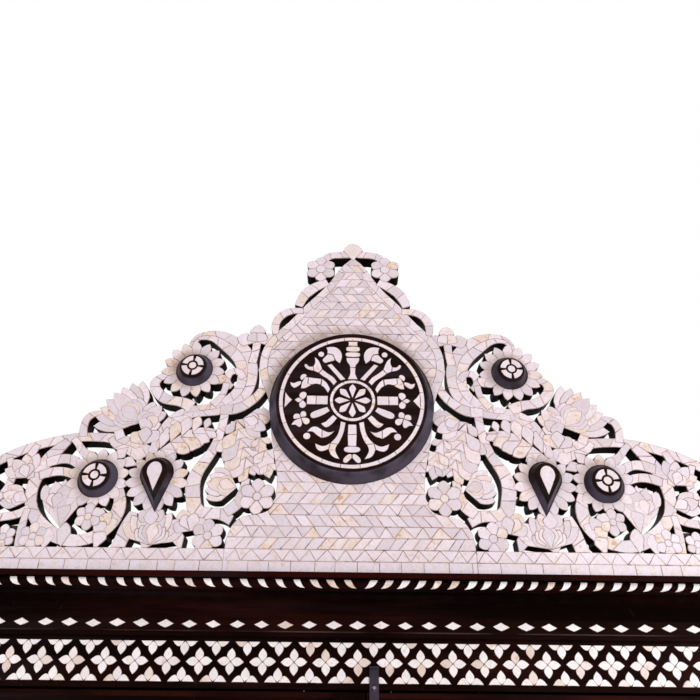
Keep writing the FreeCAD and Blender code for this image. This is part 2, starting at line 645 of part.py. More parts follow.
# Bands that taper along their length: places with half widths.
CENTRE_BAND_SHARES = [
    [(0.000, 0.944, 0.012), (0.040, 0.942, 0.012), (0.066, 0.932, 0.012), (0.074, 0.910, 0.011)],
    [(0.062, 0.840, 0.012), (0.098, 0.815, 0.016), (0.120, 0.784, 0.015), (0.130, 0.752, 0.012)],
    [(0.118, 0.735, 0.010), (0.152, 0.732, 0.011), (0.176, 0.708, 0.012), (0.182, 0.676, 0.011),
     (0.180, 0.655, 0.008)],
]
WING_BAND_SHARES = [
    # horn over the upper rosette, running on as the main stem
    [(0.372, 0.608, 0.008), (0.364, 0.636, 0.010), (0.336, 0.648, 0.015), (0.300, 0.634, 0.025),
     (0.266, 0.604, 0.030), (0.243, 0.564, 0.029), (0.236, 0.518, 0.027), (0.243, 0.474, 0.026),
     (0.266, 0.440, 0.024), (0.302, 0.420, 0.019), (0.340, 0.413, 0.017), (0.374, 0.398, 0.018),
     (0.398, 0.368, 0.016), (0.412, 0.332, 0.013), (0.420, 0.296, 0.010)],
    # arched rail down to the end
    [(0.425, 0.298, 0.014), (0.458, 0.316, 0.015), (0.492, 0.330, 0.014), (0.540, 0.337, 0.012),
     (0.590, 0.335, 0.012), (0.640, 0.322, 0.012), (0.690, 0.301, 0.012), (0.770, 0.244, 0.012),
     (0.850, 0.180, 0.012), (0.930, 0.106, 0.011), (0.975, 0.050, 0.010)],
    # scroll round the lower rosette
    [(0.602, 0.326, 0.010), (0.627, 0.290, 0.017), (0.646, 0.244, 0.017), (0.652, 0.200, 0.015),
     (0.645, 0.158, 0.014), (0.625, 0.122, 0.015), (0.594, 0.094, 0.016), (0.555, 0.076, 0.015),
     (0.515, 0.080, 0.014), (0.486, 0.103, 0.016), (0.470, 0.136, 0.017), (0.468, 0.172, 0.015),
     (0.477, 0.205, 0.011)],
    # diagonal stem beside the medallion down to the foot
    [(0.276, 0.425, 0.011), (0.280, 0.365, 0.011), (0.287, 0.325, 0.012), (0.300, 0.288, 0.013),
     (0.316, 0.255, 0.015), (0.325, 0.218, 0.018), (0.320, 0.178, 0.018), (0.308, 0.145, 0.020),
     (0.268, 0.143, 0.014), (0.238, 0.126, 0.012)],
    # branch from the field's edge under the horn
    [(0.188, 0.512, 0.010), (0.204, 0.470, 0.012), (0.229, 0.438, 0.013), (0.258, 0.420, 0.014),
     (0.288, 0.418, 0.012)],
    # small curl inside the horn
    [(0.244, 0.512, 0.010), (0.256, 0.532, 0.010), (0.272, 0.533, 0.010), (0.281, 0.516, 0.010),
     (0.279, 0.496, 0.010), (0.268, 0.486, 0.008)],
    # bridge from the small curl down to the main stem
    [(0.281, 0.498, 0.010), (0.284, 0.474, 0.009), (0.292, 0.452, 0.010), (0.306, 0.432, 0.012)],
    # loop under the upper rosette
    [(0.350, 0.424, 0.018), (0.376, 0.440, 0.014), (0.408, 0.447, 0.014), (0.433, 0.470, 0.014),
     (0.441, 0.496, 0.013), (0.428, 0.514, 0.010), (0.408, 0.510, 0.010)],
    # stem of the bud
    [(0.228, 0.560, 0.012), (0.223, 0.600, 0.011), (0.222, 0.640, 0.012)],
    # curl behind the outer flower
    [(0.538, 0.398, 0.009), (0.556, 0.403, 0.009), (0.571, 0.394, 0.010), (0.577, 0.370, 0.010),
     (0.573, 0.338, 0.011)],
    # stem that carries the outer flower
    [(0.492, 0.334, 0.012), (0.504, 0.362, 0.011), (0.516, 0.384, 0.010)],
    # scroll of the lower flower beside the field
    [(0.216, 0.232, 0.009), (0.220, 0.200, 0.012), (0.230, 0.168, 0.014), (0.252, 0.146, 0.013)],
    # leaning leaf at the foot
    [(0.436, 0.144, 0.010), (0.441, 0.116, 0.017), (0.449, 0.085, 0.017), (0.456, 0.052, 0.016)],
    # strip under the arch
    [(0.440, 0.278, 0.010), (0.470, 0.302, 0.011), (0.502, 0.318, 0.009), (0.514, 0.336, 0.008)],
    # short bars between the lower rosette and its scroll
    [(0.566, 0.262, 0.012), (0.588, 0.276, 0.012), (0.612, 0.276, 0.013), (0.636, 0.266, 0.012)],
    [(0.572, 0.236, 0.011), (0.596, 0.244, 0.011), (0.622, 0.242, 0.012), (0.644, 0.232, 0.011)],
    [(0.545, 0.284, 0.014), (0.566, 0.298, 0.010), (0.580, 0.318, 0.009), (0.592, 0.332, 0.008)],
    # uprights outside the scroll
    [(0.660, 0.226, 0.009), (0.672, 0.258, 0.013), (0.672, 0.290, 0.011), (0.664, 0.314, 0.008)],
    [(0.648, 0.152, 0.009), (0.664, 0.138, 0.010), (0.700, 0.128, 0.010), (0.736, 0.112, 0.009),
     (0.780, 0.050, 0.009)],
    [(0.650, 0.150, 0.008), (0.652, 0.110, 0.009), (0.646, 0.050, 0.012)],
    # end scrolls
    [(0.716, 0.278, 0.008), (0.700, 0.222, 0.010), (0.716, 0.176, 0.010), (0.757, 0.160, 0.010),
     (0.790, 0.180, 0.009), (0.800, 0.222, 0.008)],
    [(0.764, 0.164, 0.009), (0.800, 0.110, 0.010), (0.845, 0.086, 0.010), (0.885, 0.098, 0.009),
     (0.896, 0.140, 0.008)],
]

# Rings of petals round a boss or a small eye: centre, eye radius, outer radius, number of petals.
CENTRE_RING_SHARES = [(0.080, 0.888, 0.016, 0.046, 6)]
WING_RING_SHARES = [
    (0.360, 0.540, 0.050, 0.087, 15),
    (0.5225, 0.2275, 0.047, 0.078, 14),
    (0.400, 0.224, 0.048, 0.079, 15),
    (0.191, 0.186, 0.012, 0.046, 6),
    (0.525, 0.132, 0.010, 0.034, 6),
    (0.282, 0.090, 0.012, 0.040, 6),
    (0.626, 0.084, 0.010, 0.034, 6),
    (0.684, 0.082, 0.010, 0.030, 6),
    (0.756, 0.205, 0.012, 0.038, 6),
    (0.850, 0.128, 0.010, 0.032, 6),
]

# Fans of petals from one point: place, reach, first and last direction in degrees, number, petal width.
CENTRE_FAN_SHARES = [(0.0, 0.920, 0.068, 90, 90, 1, 0.060)]
WING_FAN_SHARES = [
    (0.456, 0.380, 0.122, -6, 82, 8, 0.042),
    (0.454, 0.376, 0.068, 110, 152, 3, 0.036),
    (0.454, 0.362, 0.052, 95, 165, 4, 0.036),
    (0.440, 0.318, 0.050, 40, 130, 3, 0.036),
    (0.236, 0.394, 0.070, 164, 228, 4, 0.036),
    (0.222, 0.628, 0.058, 14, 166, 3, 0.044),
    (0.394, 0.066, 0.088, 36, 152, 8, 0.036),
    (0.400, 0.160, 0.046, 236, 300, 3, 0.036),
    (0.234, 0.208, 0.078, -22, 40, 5, 0.036),
    (0.318, 0.100, 0.044, 20, 140, 4, 0.032),
    (0.576, 0.104, 0.122, 60, 106, 5, 0.038),
    (0.598, 0.150, 0.068, 56, 140, 4, 0.034),
    (0.508, 0.094, 0.060, 100, 150, 3, 0.032),
    (0.654, 0.168, 0.068, -4, 34, 3, 0.034),
    (0.668, 0.226, 0.066, 20, 100, 4, 0.032),
    (0.905, 0.072, 0.050, 20, 130, 4, 0.028),
    (0.800, 0.215, 0.040, 40, 140, 3, 0.026),
    (0.896, 0.128, 0.034, 30, 140, 3, 0.024),
]

# Leaves with petals in pairs along a spine: foot, tip, sideways bow, pairs, petal reach.
WING_LEAF_SHARES = [
    ((0.424, 0.284), (0.290, 0.362), -0.10, 6, 0.060),
    ((0.250, 0.390), (0.200, 0.238), 0.04, 6, 0.074),
    ((0.196, 0.340), (0.168, 0.232), -0.05, 3, 0.044),
]

# Single petals that bridge between the other forms: foot, tip, width.
WING_PETAL_SHARES = [
    ((0.244, 0.344), (0.286, 0.302), 0.036),
    ((0.238, 0.318), (0.246, 0.268), 0.034),
    ((0.392, 0.392), (0.344, 0.388), 0.024),
    ((0.402, 0.370), (0.354, 0.364), 0.026),
    ((0.196, 0.430), (0.181, 0.386), 0.034),
    ((0.308, 0.530), (0.291, 0.496), 0.040),
    ((0.330, 0.110), (0.338, 0.152), 0.036),
    ((0.446, 0.262), (0.478, 0.278), 0.030),
    ((0.430, 0.286), (0.462, 0.300), 0.034),
    ((0.472, 0.310), (0.494, 0.282), 0.030),
    ((0.330, 0.052), (0.346, 0.104), 0.030),
    ((0.404, 0.052), (0.396, 0.100), 0.046),
    ((0.304, 0.050), (0.284, 0.086), 0.030),
    ((0.500, 0.052), (0.490, 0.104), 0.034),
    ((0.566, 0.058), (0.566, 0.118), 0.034),
    ((0.600, 0.052), (0.596, 0.104), 0.034),
]

BOSS_SHARES = [(0.3575, 0.537), (0.5225, 0.2275)]
TEARDROP_SHARES = (0.4025, 0.242)
TEARDROP_TIP_SHARE = -0.009
MEDALLION_SHARE = 0.437
STRIP_SHARE = 0.060
PETAL_SHOULDER_SHARE = 0.58
PETAL_BEND_SHARE = 0.82
PETAL_CHEEK_SHARE = 0.70
RING_FOOT_SHARE = 0.55
LEAF_PETAL_SHARE = 0.56
LEAF_LEAN = 52


class Crest:
    """The crest's forms in its own plane: x along the cornice, z up, y into its thickness."""

    def __init__(self, side):
        self.side = side
        self.half = size("case_width") / 2 + size("cornice_projection") - size("crest_inset")
        self.rise = size("crest_rise_share") * self.half

    def at(self, across_share, up_share):
        return FreeCAD.Vector(self.side * across_share * self.half, 0, up_share * self.rise)

    def turned(self, degrees):
        angle = math.radians(degrees)
        return FreeCAD.Vector(self.side * math.cos(angle), 0, math.sin(angle))

    def petal(self, foot, tip, width):
        """A leaf: straight from a pointed foot to its shoulders, then two round cheeks up to the tip."""
        along = tip - foot
        across = FreeCAD.Vector(-along.z, 0, along.x).normalize() * (width / 2)
        shoulder = foot + along * PETAL_SHOULDER_SHARE
        bend = foot + along * PETAL_BEND_SHARE
        cheek = across * PETAL_CHEEK_SHARE
        edges = [Part.LineSegment(foot, shoulder + across).toShape(),
                 Part.Arc(shoulder + across, bend + cheek, tip).toShape(),
                 Part.Arc(tip, bend - cheek, shoulder - across).toShape(),
                 Part.LineSegment(shoulder - across, foot).toShape()]
        return Part.Face(Part.Wire(edges))

    def disc(self, centre, radius):
        circle = Part.Circle(centre, FreeCAD.Vector(0, -1, 0), radius)
        return Part.Face(Part.Wire(circle.toShape()))

    def band(self, rows):
        """A curving band through the given places, with its edges at the given half widths."""
        places = [self.at(across, up) for across, up, width in rows]
        left, right = [], []
        for number, (across, up, width) in enumerate(rows):
            before = places[max(number - 1, 0)]
            after = places[min(number + 1, len(rows) - 1)]
            along = (after - before).normalize()
            normal = FreeCAD.Vector(-along.z, 0, along.x) * (width * self.rise)
            left.append(places[number] + normal)
            right.append(places[number] - normal)
        edges = []
        for line in (left, right[::-1]):
            curve = Part.BSplineCurve()
            curve.interpolate(line)
            edges.append(curve.toShape())
        edges.insert(1, Part.LineSegment(left[-1], right[-1]).toShape())
        edges.append(Part.LineSegment(right[0], left[0]).toShape())
        return Part.Face(Part.Wire(edges))

    def ring(self, across, up, eye, reach, count):
        """Petals round an eye, on a disc."""
        centre = self.at(across, up)
        inner, outer = eye * self.rise, reach * self.rise
        width = 2 * math.pi * (inner + PETAL_SHOULDER_SHARE * (outer - inner)) / count
        petals = [self.disc(centre, (inner + outer) / 2)]
        for number in range(count):
            ray = self.turned(90 + 360 * number / count)
            petals.append(self.petal(centre + ray * inner * RING_FOOT_SHARE, centre + ray * outer, width))
        return petals

    def fan(self, across, up, reach, first, last, count, width):
        foot = self.at(across, up)
        petals = []
        for number in range(count):
            degrees = first + (last - first) * number / max(count - 1, 1)
            tip = foot + self.turned(degrees) * (reach * self.rise)
            petals.append(self.petal(foot, tip, width * self.rise))
        return petals

    def leaf(self, foot_share, tip_share, bow, pairs, reach):
        """Petals in pairs along a bowed spine, and one at its tip."""
        foot, tip = self.at(*foot_share), self.at(*tip_share)
        along = tip - foot
        sideways = FreeCAD.Vector(-along.z, 0, along.x) * (bow * self.side)
        heading = math.degrees(math.atan2(along.z, self.side * along.x))
        petals = [self.petal(foot, tip, reach * self.rise)]
        for number in range(pairs):
            place_share = number / pairs
            swell = math.sin(math.pi * (place_share + 1 / (2 * pairs)))
            start = foot + along * place_share + sideways * (4 * place_share * (1 - place_share))
            length = reach * self.rise * (1 + swell) / 2
            for lean in (LEAF_LEAN, -LEAF_LEAN):
                petals.append(self.petal(start, start + self.turned(heading + lean) * length,
                                         length * LEAF_PETAL_SHARE))
        return petals

    def slab(self, faces, cutters=()):
        """Joins the forms, drops the gaps that no saw blade enters, and gives the board its thickness."""
        joined = faces[0].multiFuse(faces[1:])
        for cutter in cutters:
            joined = joined.cut(cutter)
        pieces = []
        for face in joined.Faces:
            if face.normalAt(0, 0).y > 0:
                face.reverse()
            pieces.append(face)
        merged = Part.Shell(pieces).removeSplitter()
        largest = max(merged.Faces, key=lambda face: face.Area)
        outer = largest.OuterWire
        holes = [wire for wire in largest.Wires if not wire.isSame(outer) and self.sawn(wire)]
        return Part.makeFace([outer] + holes, "Part::FaceMakerBullseye")

    def sawn(self, wire):
        """Whether a gap is wide enough to be sawn out."""
        return Part.Face(wire).Area > size("saw_blade") * wire.Length / 2

    def strip(self, first, last):
        corners = [self.at(first, 0), self.at(last, 0), self.at(last, STRIP_SHARE), self.at(first, STRIP_SHARE)]
        return Part.Face(Part.makePolygon(corners + corners[:1]))


def crest_centre_face():
    """The field behind the medallion with its finial, both halves in one board."""
    right = Crest(1)
    places = [right.at(*share) for share in FIELD_SHARES]
    mirrored = [FreeCAD.Vector(-place.x, 0, place.z) for place in places]
    sides = []
    for line in (places, mirrored[::-1]):
        curve = Part.BSplineCurve()
        curve.interpolate(line)
        sides.append(curve.toShape())
    foot = Part.LineSegment(places[-1], mirrored[-1]).toShape()
    faces = [Part.Face(Part.Wire([sides[0], foot, sides[1]]))]
    for half in (right, Crest(-1)):
        faces.append(half.strip(0, FIELD_SHARES[-1][0]))
        faces += [half.band(rows) for rows in CENTRE_BAND_SHARES]
        for row in CENTRE_RING_SHARES:
            faces += half.ring(*row)
    for row in CENTRE_FAN_SHARES:
        faces += right.fan(*row)
    return right.slab(faces)


def crest_wing_face(half, centre):
    faces = [half.strip(FIELD_SHARES[-1][0], 1)]
    faces += [half.band(rows) for rows in WING_BAND_SHARES]
    for row in WING_RING_SHARES:
        faces += half.ring(*row)
    for row in WING_FAN_SHARES:
        faces += half.fan(*row)
    for row in WING_LEAF_SHARES:
        faces += half.leaf(*row)
    for foot, tip, width in WING_PETAL_SHARES:
        faces.append(half.petal(half.at(*foot), half.at(*tip), width * half.rise))
    return half.slab(faces, [centre])


def crest_board(name, face):
    board = fresh("Part::Feature", name)
    board.Shape = face.extrude(FreeCAD.Vector(0, size("crest_thickness"), 0))
    return part(name, place(board, "0", "crest_y", "crest_z"))


def turned_boss(name, radius, face_radius, depth, x, z):
    """A coned disc on the crest's face with its front edge rounded."""
    blank = cone(f"{name}_blank", radius, face_radius, depth, x, "crest_y", z, TURN_BACK)
    doc.recompute()
    rounded = fresh("Part::Fillet", name)
    rounded.Base = blank
    front = [number for number, edge in enumerate(blank.Shape.Edges, start=1)
             if edge.isClosed() and abs(edge.Curve.Radius - size(face_radius)) < size("joint_clearance")]
    rounded.Edges = [(number, size("turning_round"), size("turning_round")) for number in front]
    return rounded


def teardrop(name, side):
    """A drop-shaped boss that narrows towards its face, round above with its point below."""
    half = Crest(side)
    centre = half.at(*TEARDROP_SHARES)
    radius, rim = size("teardrop_radius"), size("teardrop_rim")
    drop = size("teardrop_length") - radius
    wires = []
    for inset, depth in ((0, 0), (rim, size("teardrop_depth"))):
        round_radius = radius - inset
        reach = drop - inset * drop / radius
        shift = FreeCAD.Vector(side * TEARDROP_TIP_SHARE * half.half, 0, 0)
        tip = centre + FreeCAD.Vector(0, 0, -reach) + shift * (reach / drop)
        lean = math.asin(round_radius / reach)
        touch = FreeCAD.Vector(math.cos(lean), 0, -math.sin(lean)) * round_radius
        right = centre + touch
        left = centre + FreeCAD.Vector(-touch.x, 0, touch.z)
        top = centre + FreeCAD.Vector(0, 0, round_radius)
        edges = [Part.LineSegment(tip, right).toShape(), Part.Arc(right, top, left).toShape(),
                 Part.LineSegment(left, tip).toShape()]
        wire = Part.Wire(edges)
        wire.translate(FreeCAD.Vector(0, -depth, 0))
        wires.append(wire)
    drop_solid = fresh("Part::Feature", name)
    drop_solid.Shape = Part.makeLoft(wires, True, True)
    return place(drop_solid, "0", "crest_y", "crest_z")


def crest():
    centre = crest_centre_face()
    crest_board("crest_centre", centre)
    wing = crest_wing_face(Crest(1), centre)
    crest_board("crest_right_wing", wing)
    crest_board("crest_left_wing", wing.mirror(FreeCAD.Vector(), FreeCAD.Vector(1, 0, 0)))
    medallion_z = f"crest_z + (crest_rise) * {MEDALLION_SHARE}"
    part("crest_medallion", turned_boss("crest_medallion", "medallion_radius", "medallion_face_radius",
                                        "medallion_depth", "0", medallion_z))
    bosses, drops = [], []
    for side, sign in (("left", "-"), ("right", "")):
        for number, (across, up) in enumerate(BOSS_SHARES):
            bosses.append(turned_boss(f"{side}_boss_{number}", "boss_radius", "boss_face_radius", "boss_depth",
                                      f"{sign}(crest_half) * {across}", f"crest_z + (crest_rise) * {up}"))
        drops.append(teardrop(f"{side}_teardrop", -1 if sign else 1))
    part("crest_bosses", group("crest_bosses", bosses))
    part("crest_teardrops", group("crest_teardrops", drops))


BRACE_SHARES = {"middle": (0.0, 0.60), "left": (-0.705, 0.12), "right": (0.705, 0.12)}


def braces():
    """Upright battens behind the crest, each with a foot on the cornice cap."""
    battens = []
    back = "crest_y + crest_thickness"
    for name, (across, up) in BRACE_SHARES.items():
        middle = f"(crest_half) * ({across})"
        span = (f"{middle} - brace_width / 2", f"{middle} + brace_width / 2")
        batten = block(f"{name}_batten", span, (back, f"{back} + brace_thickness"),
                       ("crest_z", f"crest_z + (crest_rise) * {up}"))
        shoe = block(f"{name}_shoe", span, (back, f"{back} + brace_foot_length"),
                     ("crest_z", "crest_z + brace_thickness"))
        battens.append(fuse(f"{name}_brace", [batten, shoe]))
    part("crest_braces", group("crest_braces", battens))


def main():
    face_frame()
    sides()
    boards()
    feet()
    doors()
    hinges()
    strap()
    drawers()
    cornice()
    crest()
    braces()
    doc.recompute()
    os.makedirs("parts", exist_ok=True)
    for piece in doc.Objects:
        if "Invalid" in piece.State or "Error" in piece.State:
            raise ValueError(f"{piece.Name} did not build")
    for piece in parts:
        if piece.Shape.isNull() or not piece.Shape.isValid():
            raise ValueError(f"{piece.Label} is not a sound solid")
        piece.Shape.exportStep(f"parts/{piece.Label}.step")


main()
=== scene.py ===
"""Inlaid armoire: polished wood, a shell mosaic fitted to the crest, and shell inlay round the solids."""

import cmath
import json
import math
import random

import bmesh
import bpy
import numpy as np
from mathutils import Matrix, Vector, geometry


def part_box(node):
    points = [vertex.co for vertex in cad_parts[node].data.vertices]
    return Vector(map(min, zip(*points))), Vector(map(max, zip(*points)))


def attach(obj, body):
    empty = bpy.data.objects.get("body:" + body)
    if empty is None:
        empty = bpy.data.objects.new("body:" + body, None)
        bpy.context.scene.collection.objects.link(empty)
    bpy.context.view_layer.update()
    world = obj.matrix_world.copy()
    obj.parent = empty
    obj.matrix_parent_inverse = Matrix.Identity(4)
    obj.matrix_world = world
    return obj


bl_info = {
    "name": "Inlaid Armoire",
    "version": (1, 0, 0),
    "blender": (4, 5, 0),
    "location": "View3D > Sidebar > Armoire",
    "description": "Dresses the armoire's solids in polished wood, shell mosaic and inlay",
    "category": "Object",
}

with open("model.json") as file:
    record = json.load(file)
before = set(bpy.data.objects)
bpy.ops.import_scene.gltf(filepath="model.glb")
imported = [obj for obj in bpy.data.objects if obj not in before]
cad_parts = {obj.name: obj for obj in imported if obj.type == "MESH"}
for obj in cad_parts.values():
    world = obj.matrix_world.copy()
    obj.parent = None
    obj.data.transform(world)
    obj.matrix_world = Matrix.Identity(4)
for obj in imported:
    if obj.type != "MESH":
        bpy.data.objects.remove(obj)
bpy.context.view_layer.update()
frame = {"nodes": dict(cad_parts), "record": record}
MM = 0.001

# Places taken from the solids, in millimetres.
CREST_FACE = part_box("crest_centre")[0].y / MM
CREST_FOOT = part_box("cornice_cap")[1].z / MM
CREST_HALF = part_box("crest_right_wing")[1].x / MM
MEDALLION_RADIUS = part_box("crest_medallion")[1].x / MM
MEDALLION_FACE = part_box("crest_medallion")[0].y / MM
BOSS_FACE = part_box("crest_bosses")[0].y / MM
TEARDROP_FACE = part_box("crest_teardrops")[0].y / MM
CASE_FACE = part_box("frieze_board")[0].y / MM
CASE_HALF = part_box("frieze_board")[1].x / MM
CASE_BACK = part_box("cornice_cap")[1].y / MM
FRIEZE_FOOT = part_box("frieze_board")[0].z / MM
BED_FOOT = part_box("cornice_bed_front")[0].z / MM
ROUND_FOOT, ROUND_TOP = (corner.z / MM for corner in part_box("cornice_round_front"))
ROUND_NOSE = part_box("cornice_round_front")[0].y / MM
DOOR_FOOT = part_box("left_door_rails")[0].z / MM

# Sizes of the joinery that no box gives, in millimetres, and the crest's rise as a share of its half length.
BEAD_HEIGHT, FASCIA_DEPTH = 5.0, 11.0
DOOR_MIDDLE_RAIL = (400.0, 466.0)
PANEL_MARGIN, PANEL_FIELD_STEP = 35.5, 26.0
CREST_STEEPNESS = 0.8333
CREST_RISE = CREST_HALF * CREST_STEEPNESS

# The crest's forms, as shares: across of the half length, up and widths of the rise.
FIELD_SHARES = [(0.0, 0.930), (0.022, 0.905), (0.055, 0.842), (0.082, 0.798), (0.112, 0.757),
                (0.152, 0.694), (0.184, 0.652), (0.204, 0.612), (0.211, 0.565), (0.208, 0.525),
                (0.196, 0.488), (0.182, 0.440), (0.172, 0.350), (0.158, 0.270), (0.152, 0.210),
                (0.166, 0.152), (0.222, 0.132), (0.242, 0.096), (0.246, 0.050)]
CENTRE_BAND_SHARES = [
    [(0.000, 0.944, 0.012), (0.040, 0.942, 0.012), (0.066, 0.932, 0.012), (0.074, 0.910, 0.011)],
    [(0.062, 0.840, 0.012), (0.098, 0.815, 0.016), (0.120, 0.784, 0.015), (0.130, 0.752, 0.012)],
    [(0.118, 0.735, 0.010), (0.152, 0.732, 0.011), (0.176, 0.708, 0.012), (0.182, 0.676, 0.011),
     (0.180, 0.655, 0.008)],
]
WING_BAND_SHARES = [
    [(0.372, 0.608, 0.008), (0.364, 0.636, 0.010), (0.336, 0.648, 0.015), (0.300, 0.634, 0.025),
     (0.266, 0.604, 0.030), (0.243, 0.564, 0.029), (0.236, 0.518, 0.027), (0.243, 0.474, 0.026),
     (0.266, 0.440, 0.024), (0.302, 0.420, 0.019), (0.340, 0.413, 0.017), (0.374, 0.398, 0.018),
     (0.398, 0.368, 0.016), (0.412, 0.332, 0.013), (0.420, 0.296, 0.010)],
    [(0.425, 0.298, 0.014), (0.458, 0.316, 0.015), (0.492, 0.330, 0.014), (0.540, 0.337, 0.012),
     (0.590, 0.335, 0.012), (0.640, 0.322, 0.012), (0.690, 0.301, 0.012), (0.770, 0.244, 0.012),
     (0.850, 0.180, 0.012), (0.930, 0.106, 0.011), (0.975, 0.050, 0.010)],
    [(0.602, 0.326, 0.010), (0.627, 0.290, 0.017), (0.646, 0.244, 0.017), (0.652, 0.200, 0.015),
     (0.645, 0.158, 0.014), (0.625, 0.122, 0.015), (0.594, 0.094, 0.016), (0.555, 0.076, 0.015),
     (0.515, 0.080, 0.014), (0.486, 0.103, 0.016), (0.470, 0.136, 0.017), (0.468, 0.172, 0.015),
     (0.477, 0.205, 0.011)],
    [(0.276, 0.425, 0.011), (0.280, 0.365, 0.011), (0.287, 0.325, 0.012), (0.300, 0.288, 0.013),
     (0.316, 0.255, 0.015), (0.325, 0.218, 0.018), (0.320, 0.178, 0.018), (0.308, 0.145, 0.020),
     (0.268, 0.143, 0.014), (0.238, 0.126, 0.012)],
    [(0.188, 0.512, 0.010), (0.204, 0.470, 0.012), (0.229, 0.438, 0.013), (0.258, 0.420, 0.014),
     (0.288, 0.418, 0.012)],
    [(0.244, 0.512, 0.010), (0.256, 0.532, 0.010), (0.272, 0.533, 0.010), (0.281, 0.516, 0.010),
     (0.279, 0.496, 0.010), (0.268, 0.486, 0.008)],
    [(0.281, 0.498, 0.010), (0.284, 0.474, 0.009), (0.292, 0.452, 0.010), (0.306, 0.432, 0.012)],
    [(0.350, 0.424, 0.018), (0.376, 0.440, 0.014), (0.408, 0.447, 0.014), (0.433, 0.470, 0.014),
     (0.441, 0.496, 0.013), (0.428, 0.514, 0.010), (0.408, 0.510, 0.010)],
    [(0.228, 0.560, 0.012), (0.223, 0.600, 0.011), (0.222, 0.640, 0.012)],
    [(0.538, 0.398, 0.009), (0.556, 0.403, 0.009), (0.571, 0.394, 0.010), (0.577, 0.370, 0.010),
     (0.573, 0.338, 0.011)],
    [(0.492, 0.334, 0.012), (0.504, 0.362, 0.011), (0.516, 0.384, 0.010)],
    [(0.216, 0.232, 0.009), (0.220, 0.200, 0.012), (0.230, 0.168, 0.014), (0.252, 0.146, 0.013)],
    [(0.436, 0.144, 0.010), (0.441, 0.116, 0.017), (0.449, 0.085, 0.017), (0.456, 0.052, 0.016)],
    [(0.440, 0.278, 0.010), (0.470, 0.302, 0.011), (0.502, 0.318, 0.009), (0.514, 0.336, 0.008)],
    [(0.566, 0.262, 0.012), (0.588, 0.276, 0.012), (0.612, 0.276, 0.013), (0.636, 0.266, 0.012)],
    [(0.572, 0.236, 0.011), (0.596, 0.244, 0.011), (0.622, 0.242, 0.012), (0.644, 0.232, 0.011)],
    [(0.545, 0.284, 0.014), (0.566, 0.298, 0.010), (0.580, 0.318, 0.009), (0.592, 0.332, 0.008)],
    [(0.660, 0.226, 0.009), (0.672, 0.258, 0.013), (0.672, 0.290, 0.011), (0.664, 0.314, 0.008)],
    [(0.648, 0.152, 0.009), (0.664, 0.138, 0.010), (0.700, 0.128, 0.010), (0.736, 0.112, 0.009),
     (0.780, 0.050, 0.009)],
    [(0.650, 0.150, 0.008), (0.652, 0.110, 0.009), (0.646, 0.050, 0.012)],
    [(0.716, 0.278, 0.008), (0.700, 0.222, 0.010), (0.716, 0.176, 0.010), (0.757, 0.160, 0.010),
     (0.790, 0.180, 0.009), (0.800, 0.222, 0.008)],
    [(0.764, 0.164, 0.009), (0.800, 0.110, 0.010), (0.845, 0.086, 0.010), (0.885, 0.098, 0.009),
     (0.896, 0.140, 0.008)],
]
CENTRE_RING_SHARES = [(0.080, 0.888, 0.016, 0.046, 6)]
WING_RING_SHARES = [
    (0.360, 0.540, 0.050, 0.087, 15), (0.5225, 0.2275, 0.047, 0.078, 14),
    (0.400, 0.224, 0.048, 0.079, 15), (0.191, 0.186, 0.012, 0.046, 6), (0.525, 0.132, 0.010, 0.034, 6),
    (0.282, 0.090, 0.012, 0.040, 6), (0.626, 0.084, 0.010, 0.034, 6), (0.684, 0.082, 0.010, 0.030, 6),
    (0.756, 0.205, 0.012, 0.038, 6), (0.850, 0.128, 0.010, 0.032, 6),
]
CENTRE_FAN_SHARES = [(0.0, 0.920, 0.068, 90, 90, 1, 0.060)]
WING_FAN_SHARES = [
    (0.456, 0.380, 0.122, -6, 82, 8, 0.042), (0.454, 0.376, 0.068, 110, 152, 3, 0.036),
    (0.454, 0.362, 0.052, 95, 165, 4, 0.036), (0.440, 0.318, 0.050, 40, 130, 3, 0.036),
    (0.236, 0.394, 0.070, 164, 228, 4, 0.036), (0.222, 0.628, 0.058, 14, 166, 3, 0.044),
    (0.394, 0.066, 0.088, 36, 152, 8, 0.036), (0.400, 0.160, 0.046, 236, 300, 3, 0.036),
    (0.234, 0.208, 0.078, -22, 40, 5, 0.036), (0.318, 0.100, 0.044, 20, 140, 4, 0.032),
    (0.576, 0.104, 0.122, 60, 106, 5, 0.038), (0.598, 0.150, 0.068, 56, 140, 4, 0.034),
    (0.508, 0.094, 0.060, 100, 150, 3, 0.032), (0.654, 0.168, 0.068, -4, 34, 3, 0.034),
    (0.668, 0.226, 0.066, 20, 100, 4, 0.032), (0.905, 0.072, 0.050, 20, 130, 4, 0.028),
    (0.800, 0.215, 0.040, 40, 140, 3, 0.026), (0.896, 0.128, 0.034, 30, 140, 3, 0.024),
]
WING_LEAF_SHARES = [
    ((0.424, 0.284), (0.290, 0.362), -0.10, 6, 0.060),
    ((0.250, 0.390), (0.200, 0.238), 0.04, 6, 0.074),
    ((0.196, 0.340), (0.168, 0.232), -0.05, 3, 0.044),
]
